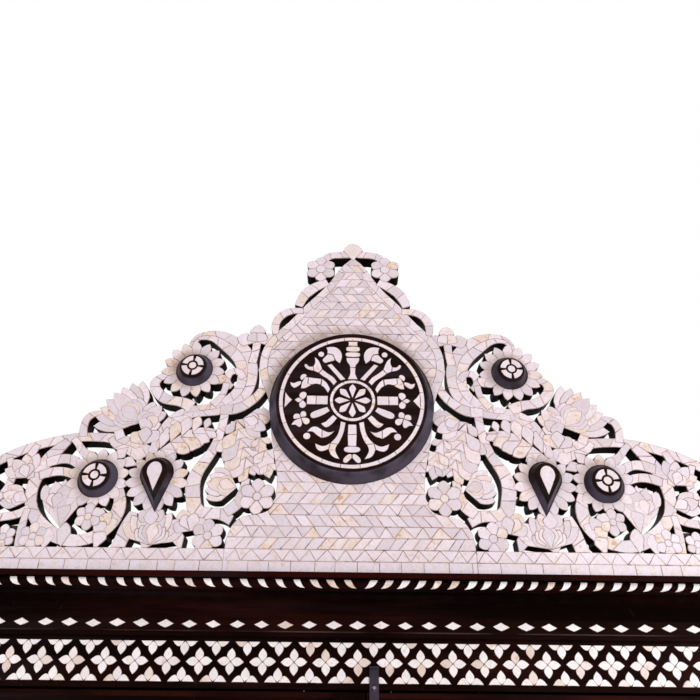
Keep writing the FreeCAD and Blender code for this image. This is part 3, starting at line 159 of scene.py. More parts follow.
WING_PETAL_SHARES = [
    ((0.244, 0.344), (0.286, 0.302), 0.036), ((0.238, 0.318), (0.246, 0.268), 0.034),
    ((0.392, 0.392), (0.344, 0.388), 0.024), ((0.402, 0.370), (0.354, 0.364), 0.026),
    ((0.196, 0.430), (0.181, 0.386), 0.034), ((0.308, 0.530), (0.291, 0.496), 0.040),
    ((0.330, 0.110), (0.338, 0.152), 0.036), ((0.446, 0.262), (0.478, 0.278), 0.030),
    ((0.430, 0.286), (0.462, 0.300), 0.034), ((0.472, 0.310), (0.494, 0.282), 0.030),
    ((0.330, 0.052), (0.346, 0.104), 0.030), ((0.404, 0.052), (0.396, 0.100), 0.046),
    ((0.304, 0.050), (0.284, 0.086), 0.030), ((0.500, 0.052), (0.490, 0.104), 0.034),
    ((0.566, 0.058), (0.566, 0.118), 0.034), ((0.600, 0.052), (0.596, 0.104), 0.034),
]
BOSS_SHARES = [(0.3575, 0.537), (0.5225, 0.2275)]
TEARDROP_SHARES = (0.4025, 0.242)
TEARDROP_TIP_SHARE = -0.009
MEDALLION_SHARE = 0.437
STRIP_SHARE = 0.060
BLOCK_ROW_SHARE = 0.033
PETAL_SHOULDER_SHARE = 0.58
PETAL_BEND_SHARE = 0.82
PETAL_CHEEK_SHARE = 0.70
RING_FOOT_SHARE = 0.55
LEAF_PETAL_SHARE = 0.56
LEAF_LEAN = 52

# The medallion's pearl, in millimetres from its middle; a third value marks a sharp corner.
# Right edges of the pieces on the middle line, from the top down, then the pieces of the right half.
MEDALLION_MIDDLE = [
    [(6.5, 87.5, 1), (5.5, 84), (6.5, 81, 1)],
    [(8, 80), (9.5, 76), (8, 72)],
    [(8.5, 71), (10, 67.5), (8.5, 64)],
    [(8.5, 62.5, 1), (8, 57), (4, 51.5), (3.5, 48, 1)],
    [(3.5, 47.5, 1), (3, 40), (4, 35.5), (6.5, 30.5, 1)],
    [(5, -33.5, 1), (5.5, -46.5, 1)],
    [(5.5, -47, 1), (5, -62, 1)],
    [(7.5, -62.5), (11, -66.5), (7.5, -70.5)],
]
MEDALLION_RIGHT = [
    [(9.5, 30.5, 1), (15.5, 28.5, 1), (33.5, 51, 1), (28, 53, 1)],
    [(17, 54, 1), (14.5, 61), (14.5, 68), (17, 74), (21.5, 78), (27.5, 79.5), (35.5, 78, 1), (33.5, 73),
     (34, 69, 1), (27.5, 68, 1), (25, 65, 1), (23, 58.5)],
    [(28, 67, 1), (33.5, 67.5, 1), (36.5, 63.5), (41, 59), (37, 53.5), (31, 56), (24, 58.5, 1),
     (25.5, 64.5, 1)],
    [(20.5, 26.5, 1), (24.5, 21.5, 1), (29.5, 28.5), (38.5, 34.5), (44, 39, 1), (39.5, 44.5, 1), (32, 38),
     (24.5, 33)],
    [(40, 45, 1), (42.5, 52.5), (45.5, 59), (50.5, 63, 1), (49, 55), (51.5, 49, 1), (50.5, 42.5, 1),
     (44.5, 39.5, 1)],
    [(52, 49, 1), (57, 48), (61, 52.5, 1), (64, 51.5), (62.5, 47.5), (58.5, 44), (51, 42.5, 1)],
    [(29, 16, 1), (31.5, 10.5, 1), (36.5, 18.5), (40.5, 21, 1), (39.5, 30.5, 1), (33, 24.5)],
    [(40.5, 30.5, 1), (41.5, 21.5, 1), (46.5, 24), (53, 22), (57.5, 23.5, 1), (57, 32.5, 1), (49.5, 31.5)],
    [(57.5, 32.5, 1), (61.5, 33, 1), (65.5, 25, 1), (66.5, 16.5, 1), (61, 16.5), (53.5, 21.5, 1),
     (58, 24, 1)],
    [(59, 35), (62.5, 38), (66.5, 36.5), (68.5, 32), (66, 27.5), (62.5, 32)],
    [(67, 27, 1), (72, 26), (76, 23.5), (80.5, 25.5, 1), (80, 21), (75.5, 16.5), (70.5, 19), (66, 23.5)],
    [(31.5, 6, 1), (46, 6, 1), (46, -6, 1), (31.5, -6, 1)],
    [(46.5, 6, 1), (58, 6, 1), (58, -6, 1), (46.5, -6, 1)],
    [(59, 4.5), (58.5, 10), (63, 12), (67.5, 9.5), (68.5, 4.5), (63, 0.5, 1)],
    [(59, -4.5), (63, -0.5, 1), (68, -4.5), (67, -10), (62.5, -12), (58.5, -8.5)],
    [(63.5, 0, 1), (69, 4), (73.5, 0, 1), (68.5, -4.5)],
    [(77, 0, 1), (82, 5), (86, 11, 1), (86, -11, 1), (81.5, -5.5)],
    [(32, -9.5, 1), (43, -13.5), (51, -17), (53.5, -21), (51, -25.5), (46, -25), (36, -20.5), (28.5, -15, 1)],
    [(57.5, -20.5), (59, -16), (63, -15.5), (66, -19), (64.5, -24, 1), (58.5, -23.5)],
    [(53.5, -26.5), (58, -24.5), (64, -25, 1), (61, -32.5), (57, -34.5), (53, -31.5)],
    [(66, -19.5), (72, -19), (74.5, -23), (73, -27.5), (65, -25, 1)],
    [(64.5, -25.5, 1), (72.5, -28.5), (76, -34.5, 1), (70, -34.5), (65.5, -38.5), (62, -34)],
    [(24, -20.5, 1), (19, -25, 1), (25, -33), (31.5, -38), (35.5, -36.5), (39, -32.5, 1), (33, -30),
     (29, -25.5)],
    [(22, -42.5, 1), (29, -45), (37, -41, 1), (37, -52, 1), (28.5, -49.5)],
    [(37.5, -41, 1), (44, -36.5), (50.5, -37), (56, -43.5, 1), (49, -43), (44, -48), (37.5, -52, 1)],
    [(8.5, -31, 1), (14.5, -29.5, 1), (15.5, -39), (18.5, -49.5), (26.5, -58.5, 1), (17.5, -60, 1), (14, -54),
     (10, -42.5)],
    [(27, -58.5, 1), (30.5, -61), (36.5, -63), (45.5, -59, 1), (43.5, -66.5), (37.5, -70), (29, -66.5, 1)],
    [(18, -60, 1), (26.5, -59, 1), (28.5, -66.5, 1), (26, -74), (21.5, -77.5), (15, -79, 1), (19, -72.5),
     (21, -66.5)],
    [(0.5, -73, 1), (4, -72), (10.5, -78), (11, -83), (6.5, -84.5), (0.5, -77.5, 1)],
]
MEDALLION_DOTS = [(42, 67.5, 4), (56, -49.5, 4.5)]
MEDALLION_RIM, MEDALLION_RIM_COUNT = (89.5, 94.5), 24
MEDALLION_EYE, MEDALLION_EYE_COUNT = (25.5, 29.5), 10
SEGMENT_GAP_ANGLE, SEGMENT_START_ANGLE = 0.2, 7.0
EIGHT_PETAL = [(0, 3.2, 1), (4.7, 17.0, 1), (3.1, 20.8), (0, 23.8, 1), (-3.1, 20.8), (-4.7, 17.0, 1)]
MEDALLION_SHIFT, MEDALLION_STRETCH = (1.0, -1.5), 1.022

# The bosses and drops, in millimetres and degrees; a lean is how far the painted shade round each one shifts
# with its height, the way a cast shadow falls.
BOSS_RADIUS, SHADE_WIDTH = 24.5, 9.0
MEDALLION_SHADE_LEAN, BOSS_SHADE_LEAN = (-0.22, 0.42), (-0.30, 0.10)
BOSS_DOT, BOSS_SEGMENT, BOSS_GAP_ANGLE, BOSS_TURN = 5.0, (7.4, 14.8), 8.0, 8.0
DROP_INSET, DROP_SLIMMING = 10.0, (0.87, 1.06)
TEARDROP_RADIUS, TEARDROP_LENGTH, TEARDROP_STEPS = 20.5, 69.0, 24
VOID_CLEARANCE = 0.2

# How the crest's tesserae are cut, in millimetres and shares, and how they are tilted, toned and stained; the
# foot rows are painted lighter, with high tones and less stain.
FIELD_ROW_HEIGHT, FIELD_LEAN, FIELD_START_SHIFT = 13.6, 11.0, 8.0
FIELD_REACH_SHARE, FIELD_HEAD_SHARE, FIELD_STEPS = 0.26, 0.94, 8
FIELD_KINDS = ("right", "triangles", "left", "triangles")
FIELD_PITCHES = {"right": 14.0, "left": 14.0, "triangles": 21.5}
BLOCK_PITCH, TRIANGLE_PITCH = 26.2, 22.0
UNEVEN_FEET, UNEVEN_HEADS, UNEVEN_LEANS = (-0.13, 0.13), (0.4, 0.6), (0.35, 0.65)
EDGE_STRIP_HALF, EDGE_STRIP_LENGTH, EDGE_STRIP_SLANT = 5.6, 18.0, 0.35
EDGE_STRIP_MARKS, EDGE_STRIP_STEP = [1.4 + 0.6 * k for k in range(16)], 0.05
FINIAL_LENGTH, FINIAL_SLANT = 19.0, 0.15
WING_LENGTH, WING_SLANT, STEM_SLANT, STEM_BANDS = 16.5, 0.30, 0.62, (1, 2)
BROAD_BAND, BAND_MARKS, BAND_EDGE_POINTS = 11.0, 24, 5
BOSSED_RINGS, RING_EYE_SHARE = 3, 0.9
SECOND_ROW_FAN, SECOND_ROW_LENGTH, SECOND_ROW_WIDTH = 0.05, 0.60, 0.86
SMALLEST_TESSERA, THINNEST_TESSERA, LEAST_AREA = 26.0, 1.15, 0.5
MERGE_DISTANCE, SAME_PLACE, LEAST_MOVE = 0.12, 1e-6, 0.01
INSET_TRIES, SHARPEST_MITRE, LEAST_CORE, SHORT_SIDE = (1.0, 0.7, 0.45, 0.25, 0.1), 0.12, 0.45, 1.0
STAIN_WIDTH, STAIN_SHRINK, STAIN_UNRIMMED, LIT_FOOT_ROW_STAIN = 0.9, 0.84, 0.15, 0.3
JOINT_LEVEL, LIFTS, TILT = 0.72, (0.8, 1.25), 0.011
TONE_FALL, LIT_FOOT_ROW_TONES = 1.25, (0.60, 0.06)

# The inlay, in millimetres and degrees, with shares of a leaf, of a petal and of the inlay's depth.
DIAMOND = [(-9.6, 0.0), (-4.7, -2.6), (0.0, -4.4), (4.7, -2.6),
           (9.6, 0.0), (4.3, 2.3), (0.0, 4.6), (-4.3, 2.3)]
DIAMOND_PITCH, DIAMOND_START, DIAMOND_HEIGHT, DIAMOND_END = 27.4, 9.2, 12.6, 8.0
DIAMOND_SHIFTS, DIAMOND_TURN, DIAMOND_SCALES = (0.6, 0.5), 3.0, (0.9, 1.04)
PETAL_SIDE = [(0.17, 0.26), (0.30, 0.43), (0.42, 0.5), (0.56, 0.48), (0.70, 0.39), (0.84, 0.23), (0.94, 0.09)]
PETAL_FOOT = 0.3
HALF_PETAL = [(0.9, 0.0), (2.7, 3.0), (4.7, 5.6), (6.0, 6.6), (7.8, 6.8),
              (10.0, 5.8), (12.0, 4.0), (13.7, 1.9), (14.9, 0.0)]
UPRIGHT_PETAL, LEVEL_PETAL, BORDER_PETAL = (14.1, 9.8), (15.1, 9.4), (15.1, 10.2)
FLOWER_ROWS, FLOWER_PITCH, FLOWER_START, FLOWER_END = (6.2, 47.6), 35.76, 9.5, 15.0
FLOWER_SHIFT, FLOWER_TURN, HEAD_ROW_SCALES = 0.5, 3.0, (0.95, 0.84)
ROPE_OUTER = [(-16.0, 0.0), (-15.0, 0.28), (-13.0, 0.56), (-10.0, 0.80), (-5.6, 0.95), (-0.6, 1.0)]
ROPE_INNER = [(-7.2, 0.0), (-6.0, 0.24), (-4.8, 0.46), (-3.2, 0.70), (-1.5, 0.88), (0.0, 1.0)]
ROPE_TOP, ROPE_TIP = -47.0, 40.0
ROPE_PITCHES, ROPE_MIDDLE, ROPE_PARTING = {False: 20.0, True: 17.8}, 11.5, 4.6
ROPE_SCALES, ROPE_SPACINGS, ROPE_SIDE_SPACINGS = (0.80, 0.97), (0.92, 1.08), (0.95, 1.05)
ROPE_END, ROPE_BACK_END = 16.0, 14.0
CASE_SIDES = ((-1, -90.0), (1, 90.0))
BORDER_PITCH, BORDER_INSET, CORNER_DOT = 27.4, 15.0, 0.45
ROSETTE_EYE, ROSETTE_PETAL, ROSETTE_RING = 7.0, (44.0, 21.0), (56.5, 61.0)
ROSETTE_GAP, ROSETTE_SEGMENT_ANGLE = 1.5, 22.3
DOOR_ROSETTES, DRAWER_ROSETTE = (0.85, 1.15), 0.72
SMALL_PETAL, SMALL_FLOWER_GAP, SMALL_FLOWER_PITCH, KNOB_RING = (14.9, 9.8), 24.0, 38.0, 18.0
INLAY_WALL, INLAY_SLOPE, INLAY_RIM = 0.6, 0.4, 0.8
INLAY_TONES, INLAY_TONE_FALL = (0.3, 0.6), 1.6

# The grain is drawn out along one axis, X, Y or Z, which the ending of a wooden solid's name may tell.
GRAIN_WAYS = {"across": (0.07, 1.0, 1.0), "deep": (1.0, 0.07, 1.0), "upright": (1.0, 1.0, 0.07)}
GRAIN_ENDINGS = {"across": ("_door_rails",),
                 "upright": ("_stiles", "_panels", "strip", "back_boards", "feet", "divider"),
                 "deep": ("_side_rails", "_left", "_right", "_box", "guides", "cleats")}

# Colours of wear and stains, of painted sheen, painted highlights and painted shade, and how the cooler
# clouds in the shell tint its ground colour.
TURNED_SHEEN, SHEEN_STREAK, RED_SHINE = (0.080, 0.067, 0.097), (0.008, 0.0105, 0.0155), (1.0, 0.62, 0.55)
ARRIS_HIGHLIGHT, CAP_HIGHLIGHT = (0.075, 0.045, 0.043), (0.024, 0.0027, 0.0017)
DOOR_HEAD_HIGHLIGHT = (0.028, 0.0055, 0.0033)
GROWTH_LINE, RIM_STAIN, BOSS_SHADE = (0.66, 0.52, 0.49), (0.47, 0.31, 0.30), (0.34, 0.22, 0.16)
RIM_STAIN_LEVEL, BOSS_SHADE_LEVEL = 0.34, 0.7
AGED_PETAL, DEEP_MASTIC, OPEN_JOINT = (0.62, 0.44, 0.36), (0.33, 0.165, 0.115), (0.07, 0.026, 0.022)
PEARL_CLOUDS, WHITE_CLOUDS = (1.03, 1.09, 1.12), (0.94, 0.90, 0.98)

# Where painted sheen lies on a turned piece and painted highlights lie on the wood, in millimetres and shares
# of half the height.
SHEEN_DEPTHS, SHEEN_HEIGHTS, RIM_TO_SIDE = (1.2, 4.0), (-0.12, 0.47), 3.5
HIGHLIGHT_EDGE, ARRIS_HEIGHT, CAP_EDGE, DOOR_HEAD = 0.5, 0.6, 1.0, (5.5, 1.0)

# The material slots of every shell mesh.
SHELL_FACE, MASTIC_FACE = 0, 1

# The studio, in metres: a lamp's place, the place it aims at, and its breadth.
FLOOR_SPAN, FLOOR_FADE = 9.0, (1.9, 4.4)
LAMPS = {"key": ((1.7, -2.6, 1.65), (0.0, -0.2, 1.4), 1.6),
         "fill": ((-2.2, -2.6, 1.5), (0.0, -0.2, 1.3), 2.0)}
WHITE = (1.0, 1.0, 1.0, 1.0)


class ArmoireShell(bpy.types.PropertyGroup):
    """Sizes and colours of the shell pieces."""

    pearl: bpy.props.FloatVectorProperty(
        name="Shell", description="Colour of most shell pieces", subtype="COLOR",
        size=3, min=0, max=1, default=(0.848, 0.71, 0.775))
    white: bpy.props.FloatVectorProperty(
        name="White shell", description="Colour of the shell below the crest", subtype="COLOR",
        size=3, min=0, max=1, default=(0.96, 0.885, 0.88))
    cream: bpy.props.FloatVectorProperty(
        name="Cream", description="Colour of the warmer shell pieces", subtype="COLOR",
        size=3, min=0, max=1, default=(0.78, 0.60, 0.49))
    fleck: bpy.props.FloatVectorProperty(
        name="Fleck", description="Colour of stains from the outer shell", subtype="COLOR",
        size=3, min=0, max=1, default=(0.64, 0.34, 0.13))
    joint: bpy.props.FloatVectorProperty(
        name="Joint", description="Colour of the mastic between shell pieces", subtype="COLOR",
        size=3, min=0, max=1, default=(0.58, 0.40, 0.35))
    joint_width: bpy.props.FloatProperty(
        name="Joint width", description="Half of the gap between two tesserae", unit="LENGTH", default=0.0004)
    depth: bpy.props.FloatProperty(
        name="Tessera depth", description="How far a tessera stands in front of the board", unit="LENGTH",
        default=0.0016)
    inlay_depth: bpy.props.FloatProperty(
        name="Inlay depth", description="How far an inlaid piece stands proud of the wood", unit="LENGTH",
        default=0.0006)


class ArmoireTimber(bpy.types.PropertyGroup):
    """Colours of the woods and metals."""

    dark: bpy.props.FloatVectorProperty(
        name="Dark wood", description="Ground colour of the polished wood", subtype="COLOR",
        size=3, min=0, max=1, default=(0.0031, 0.0008, 0.0007))
    glint: bpy.props.FloatVectorProperty(
        name="Red grain", description="Colour of the lighter grain in the polished wood", subtype="COLOR",
        size=3, min=0, max=1, default=(0.024, 0.0050, 0.0032))
    inner: bpy.props.FloatVectorProperty(
        name="Inner wood", description="Ground colour of the bare wood inside", subtype="COLOR",
        size=3, min=0, max=1, default=(0.30, 0.185, 0.10))
    steel: bpy.props.FloatVectorProperty(
        name="Steel", description="Colour of the strap", subtype="COLOR",
        size=3, min=0, max=1, default=(0.038, 0.029, 0.042))
    iron: bpy.props.FloatVectorProperty(
        name="Iron", description="Colour of the hinges", subtype="COLOR",
        size=3, min=0, max=1, default=(0.024, 0.022, 0.021))


class ArmoireStudio(bpy.types.PropertyGroup):
    """Floor, lamps and camera."""

    floor: bpy.props.FloatVectorProperty(
        name="Floor", description="Colour of the floor", subtype="COLOR",
        size=3, min=0, max=1, default=(0.86, 0.86, 0.86))
    sky: bpy.props.FloatProperty(
        name="Sky level", description="Strength of the light from all round", default=0.49, min=0)
    key: bpy.props.FloatProperty(
        name="Key level", description="Strength of the large lamp to the right of the camera",
        default=40.0, min=0)
    fill: bpy.props.FloatProperty(
        name="Fill level", description="Strength of the lamp to the left of the camera", default=19.5, min=0)
    eye: bpy.props.FloatVectorProperty(
        name="Eye", description="Place of the camera", subtype="TRANSLATION", unit="LENGTH", size=3,
        default=(-0.003, -1.010, 1.550))
    tilt: bpy.props.FloatProperty(
        name="Tilt", description="How far the camera looks up", subtype="ANGLE", default=math.radians(30.83))
    roll: bpy.props.FloatProperty(
        name="Roll", description="Lean of the camera", subtype="ANGLE", default=math.radians(0.65))
    lens: bpy.props.FloatProperty(
        name="Lens", description="Focal length on a sensor 36 mm wide", default=32.91, min=1)


# Shader trees

def node(tree, kind, inputs=None, **settings):
    """Adds a node, sets its options, and sets or links its inputs."""
    made = tree.nodes.new(kind)
    for key, value in settings.items():
        setattr(made, key, value)
    for key, value in (inputs or {}).items():
        socket = made.inputs[key]
        if isinstance(value, bpy.types.NodeSocket):
            tree.links.new(value, socket)
        else:
            socket.default_value = value
    return made


def opaque(colour):
    return (*colour, 1.0)


def mixed(tree, factor, first, second):
    """The colour between two, by a factor."""
    mix = node(tree, "ShaderNodeMix", {0: factor, 6: first, 7: second}, data_type="RGBA")
    return mix.outputs[2]


def spread(tree, value, low, high, new_low=0.0, new_high=1.0):
    """A value brought from one range to another, clamped."""
    return node(tree, "ShaderNodeMapRange", {"Value": value, "From Min": low, "From Max": high,
                                             "To Min": new_low, "To Max": new_high}).outputs["Result"]


def reckon(tree, operation, first, second=0.0):
    return node(tree, "ShaderNodeMath", {0: first, 1: second}, operation=operation).outputs["Value"]


def object_place(tree):
    return node(tree, "ShaderNodeTexCoord").outputs["Object"]


def distance(tree, place, centre):
    return node(tree, "ShaderNodeVectorMath", {0: place, 1: centre}, operation="DISTANCE").outputs["Value"]


def noise(tree, place, scale, detail, **inputs):
    """The level of a noise pattern, which has a fourth dimension where an input W is given."""
    pattern = node(tree, "ShaderNodeTexNoise", {"Vector": place, "Scale": scale, "Detail": detail, **inputs},
                   noise_dimensions="4D" if "W" in inputs else "3D")
    return pattern.outputs["Fac"]


def new_group(name, sockets):
    """An empty node group with the given sockets, and its two ends."""
    tree = bpy.data.node_groups.new(name, "ShaderNodeTree")
    for label, way, kind, default in sockets:
        socket = tree.interface.new_socket(name=label, in_out=way, socket_type=kind)
        if default is not None:
            socket.default_value = default
    return tree, tree.nodes.new("NodeGroupInput"), tree.nodes.new("NodeGroupOutput")


def put_out(tree, leave, results):
    """Links what a node group works out to its end, and returns the group."""
    for label, result in results.items():
        tree.links.new(result, leave.inputs[label])
    return tree


def wood_figure():
    """Grain drawn out along one way of the board: streaks, pores, broad clouds, and pale streaks where
    painted sheen lies.
    """
    tree, entry, leave = new_group("Wood figure", [
        ("Stretch", "INPUT", "NodeSocketVector", (1.0, 1.0, 1.0)),
        ("Streaks", "OUTPUT", "NodeSocketFloat", None),
        ("Pores", "OUTPUT", "NodeSocketFloat", None),
        ("Clouds", "OUTPUT", "NodeSocketFloat", None),
        ("Sheen streaks", "OUTPUT", "NodeSocketFloat", None)])
    place = object_place(tree)
    along = node(tree, "ShaderNodeVectorMath", {0: place, 1: entry.outputs["Stretch"]},
                 operation="MULTIPLY").outputs["Vector"]
    streaks = noise(tree, along, 34.0, 6.0, Roughness=0.62, Distortion=0.35)
    pores = noise(tree, along, 240.0, 3.0, Roughness=0.55)
    clouds = noise(tree, place, 5.5, 3.0)
    lines = noise(tree, along, 75.0, 2.0)
    drift = noise(tree, place, 2.6, 1.0)
    sheen_streaks = reckon(tree, "MULTIPLY", spread(tree, lines, 0.48, 0.66), spread(tree, drift, 0.46, 0.60))
    return put_out(tree, leave, {"Sheen streaks": sheen_streaks, "Streaks": spread(tree, streaks, 0.42, 0.72),
                                 "Pores": spread(tree, pores, 0.50, 0.66),
                                 "Clouds": spread(tree, clouds, 0.35, 0.68)})


def handling():
    """Scratches and dust that years of handling leave: a mask of fine marks and a mask of dull patches."""
    tree, entry, leave = new_group("Handling", [
        ("Scale", "INPUT", "NodeSocketFloat", 1.0),
        ("Marks", "OUTPUT", "NodeSocketFloat", None),
        ("Dull", "OUTPUT", "NodeSocketFloat", None)])
    grown = node(tree, "ShaderNodeVectorMath", {0: object_place(tree), "Scale": entry.outputs["Scale"]},
                 operation="SCALE").outputs["Vector"]
    cells = node(tree, "ShaderNodeTexVoronoi", {"Vector": grown, "Scale": 46.0}, feature="DISTANCE_TO_EDGE")
    thin = spread(tree, cells.outputs["Distance"], 0.0, 0.02, 1.0, 0.0)
    broken = spread(tree, noise(tree, grown, 90.0, 4.0), 0.56, 0.66)
    dull = noise(tree, grown, 9.0, 5.0, Roughness=0.6)
    return put_out(tree, leave, {"Marks": reckon(tree, "MULTIPLY", thin, broken),
                                 "Dull": spread(tree, dull, 0.40, 0.70)})


def shell_lustre():
    """Growth lines, clouds of colour and brown flecks of one shell piece, shifted by the piece's own tone."""
    tree, entry, leave = new_group("Shell lustre", [
        ("Tone", "INPUT", "NodeSocketFloat", 0.5),
        ("Shell", "INPUT", "NodeSocketColor", WHITE),
        ("Cool", "INPUT", "NodeSocketColor", WHITE),
        ("Cream", "INPUT", "NodeSocketColor", WHITE),
        ("Fleck", "INPUT", "NodeSocketColor", WHITE),
        ("Colour", "OUTPUT", "NodeSocketColor", None),
        ("Roughness", "OUTPUT", "NodeSocketFloat", None),
        ("Height", "OUTPUT", "NodeSocketFloat", None)])
    tone = entry.outputs["Tone"]
    place = object_place(tree)
    shift = reckon(tree, "MULTIPLY", tone, 37.0)
    lines = noise(tree, place, 60.0, 3.0, W=shift, Distortion=1.2)
    clouds = noise(tree, place, 95.0, 2.0, W=shift)
    flecks = noise(tree, place, 130.0, 4.0, W=shift, Roughness=0.6)
    blush = noise(tree, place, 48.0, 3.0, W=reckon(tree, "ADD", shift, 11.0))
    specks = noise(tree, place, 420.0, 2.0)
    waves = reckon(tree, "SINE", reckon(tree, "MULTIPLY", lines, 60.0))
    warm = reckon(tree, "MAXIMUM", spread(tree, tone, 0.66, 0.96), spread(tree, blush, 0.52, 0.72, 0.0, 0.40))
    ground = mixed(tree, warm, entry.outputs["Shell"], entry.outputs["Cream"])
    cooled = mixed(tree, spread(tree, clouds, 0.40, 0.66, 0.0, 0.6), ground, entry.outputs["Cool"])
    banded = mixed(tree, spread(tree, waves, -1.0, 1.0, 0.0, 0.13), cooled, opaque(GROWTH_LINE))
    bright = reckon(tree, "MULTIPLY", spread(tree, tone, 0.0, 0.70, 0.87, 1.08),
                    spread(tree, specks, 0.3, 0.7, 0.94, 1.06))
    toned = node(tree, "ShaderNodeVectorMath", {0: banded, "Scale": bright},
                 operation="SCALE").outputs["Vector"]
    stained = reckon(tree, "MULTIPLY", spread(tree, flecks, 0.56, 0.66),
                     spread(tree, tone, 0.40, 0.95, 0.05, 0.85))
    return put_out(tree, leave, {"Colour": mixed(tree, stained, toned, entry.outputs["Fleck"]),
                                 "Roughness": spread(tree, clouds, 0.3, 0.7, 0.24, 0.40),
                                 "Height": reckon(tree, "MULTIPLY", waves, 0.5)})


def effect(tree, name, maker, inputs):
    """Places a shared effect in a material, and builds its node group at its first use."""
    group = bpy.data.node_groups.get(name) or maker()
    return node(tree, "ShaderNodeGroup", inputs, node_tree=group)


def blank_material(name):
    """A material with only its shader and output."""
    material = bpy.data.materials.new(name)
    material.use_nodes = True
    tree = material.node_tree
    return material, tree, tree.nodes["Principled BSDF"]


def finish_shader(tree, shader, colour, roughness, height, strength, depth):
    """Links a surface's colour, roughness and relief to its shader."""
    tree.links.new(colour, shader.inputs["Base Color"])
    tree.links.new(roughness, shader.inputs["Roughness"])
    bump = node(tree, "ShaderNodeBump", {"Height": height, "Strength": strength, "Distance": depth})
    tree.links.new(bump.outputs["Normal"], shader.inputs["Normal"])


def lay_over(material, mask, colour):
    """Lays another colour over a material's own, by a mask."""
    tree = material.node_tree
    base = tree.nodes["Principled BSDF"].inputs["Base Color"]
    tree.links.new(mixed(tree, mask, base.links[0].from_socket, opaque(colour)), base)


def polished_wood(name, way, ground, grain, gloss=(0.30, 0.48), shine=0.022):
    """Wood of a ground colour with a lighter grain along one axis, pores, rubbed marks and pale streaks of
    painted sheen along the grain.
    """
    if name in bpy.data.materials:
        return bpy.data.materials[name]
    material, tree, shader = blank_material(name)
    figure = effect(tree, "Wood figure", wood_figure, {"Stretch": GRAIN_WAYS[way]}).outputs
    wear = effect(tree, "Handling", handling, {}).outputs
    streaked = mixed(tree, reckon(tree, "MULTIPLY", figure["Streaks"], figure["Clouds"]),
                     opaque(ground), opaque(grain))
    pored = mixed(tree, reckon(tree, "MULTIPLY", figure["Pores"], 0.55), streaked,
                  opaque([channel * 0.4 for channel in ground]))
    rubbed = mixed(tree, reckon(tree, "MULTIPLY", wear["Marks"], 0.22), pored,
                   opaque([0.02 + channel * 1.5 for channel in grain]))
    # Painted sheen: pale streaks along the grain that stand for reflections of light.
    sheened = mixed(tree, reckon(tree, "MULTIPLY", figure["Sheen streaks"], 0.7), rubbed,
                  opaque([0.5 * channel + pale for channel, pale in zip(grain, SHEEN_STREAK)]))
    dulled = spread(tree, wear["Dull"], 0.0, 1.0, *gloss)
    finish_shader(tree, shader, sheened, dulled, figure["Pores"], strength=0.18, depth=0.0004)
    shader.inputs["Specular IOR Level"].default_value = shine
    shader.inputs["Specular Tint"].default_value = opaque(RED_SHINE)
    return material


def turned_wood(name, ground, grain):
    """Wood of a turned piece: dark on its face, with a painted grey sheen down its side, on the medallion and
    the drops only on the lower half.
    """
    material = polished_wood(f"{name}_wood", "across", ground, grain, shine=0.10)
    tree = material.node_tree
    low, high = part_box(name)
    face, middle, rise = low.y, (low.z + high.z) / 2, (high.z - low.z) / 2
    place = object_place(tree)
    apart = node(tree, "ShaderNodeSeparateXYZ", {"Vector": place})
    side = spread(tree, apart.outputs["Y"], *(face + depth * MM for depth in SHEEN_DEPTHS))
    if name == "crest_medallion":
        centre = Vector((0.0, face, (CREST_FOOT + MEDALLION_SHARE * CREST_RISE) * MM))
        rim = (MEDALLION_RIM[1] + RIM_TO_SIDE) * MM
        side = reckon(tree, "MAXIMUM", side, spread(tree, distance(tree, place, centre), rim, rim + 0.001))
    # On the medallion and the drops the painted sheen lies only on the lower half, as if lit from below.
    if name in ("crest_medallion", "crest_teardrops"):
        foot, head = (middle + share * rise for share in SHEEN_HEIGHTS)
        lower = spread(tree, apart.outputs["Z"], foot, head, 1.0, 0.0)
        side = reckon(tree, "MULTIPLY", side, lower)
    patches = spread(tree, noise(tree, place, 38.0, 4.0), 0.35, 0.6, 0.35, 1.0)
    # The painted grey sheen, in patches, down the side.
    lay_over(material, reckon(tree, "MULTIPLY", side, patches), TURNED_SHEEN)
    return material


def highlighted_wood(name, way, ground, grain, low, high, colour):
    """Wood with a painted highlight of another colour, in patches, between two heights in millimetres."""
    material = polished_wood(f"{name}_wood", way, ground, grain)
    tree = material.node_tree
    place = object_place(tree)
    height = node(tree, "ShaderNodeSeparateXYZ", {"Vector": place}).outputs["Z"]
    between = reckon(tree, "MULTIPLY", spread(tree, height, (low - HIGHLIGHT_EDGE) * MM, low * MM),
                     spread(tree, height, high * MM, (high + HIGHLIGHT_EDGE) * MM, 1.0, 0.0))
    patches = spread(tree, noise(tree, place, 9.0, 5.0), 0.42, 0.62, 0.08, 1.0)
    # Lays the painted highlight over the wood in patches.
    lay_over(material, reckon(tree, "MULTIPLY", between, patches), colour)
    return material


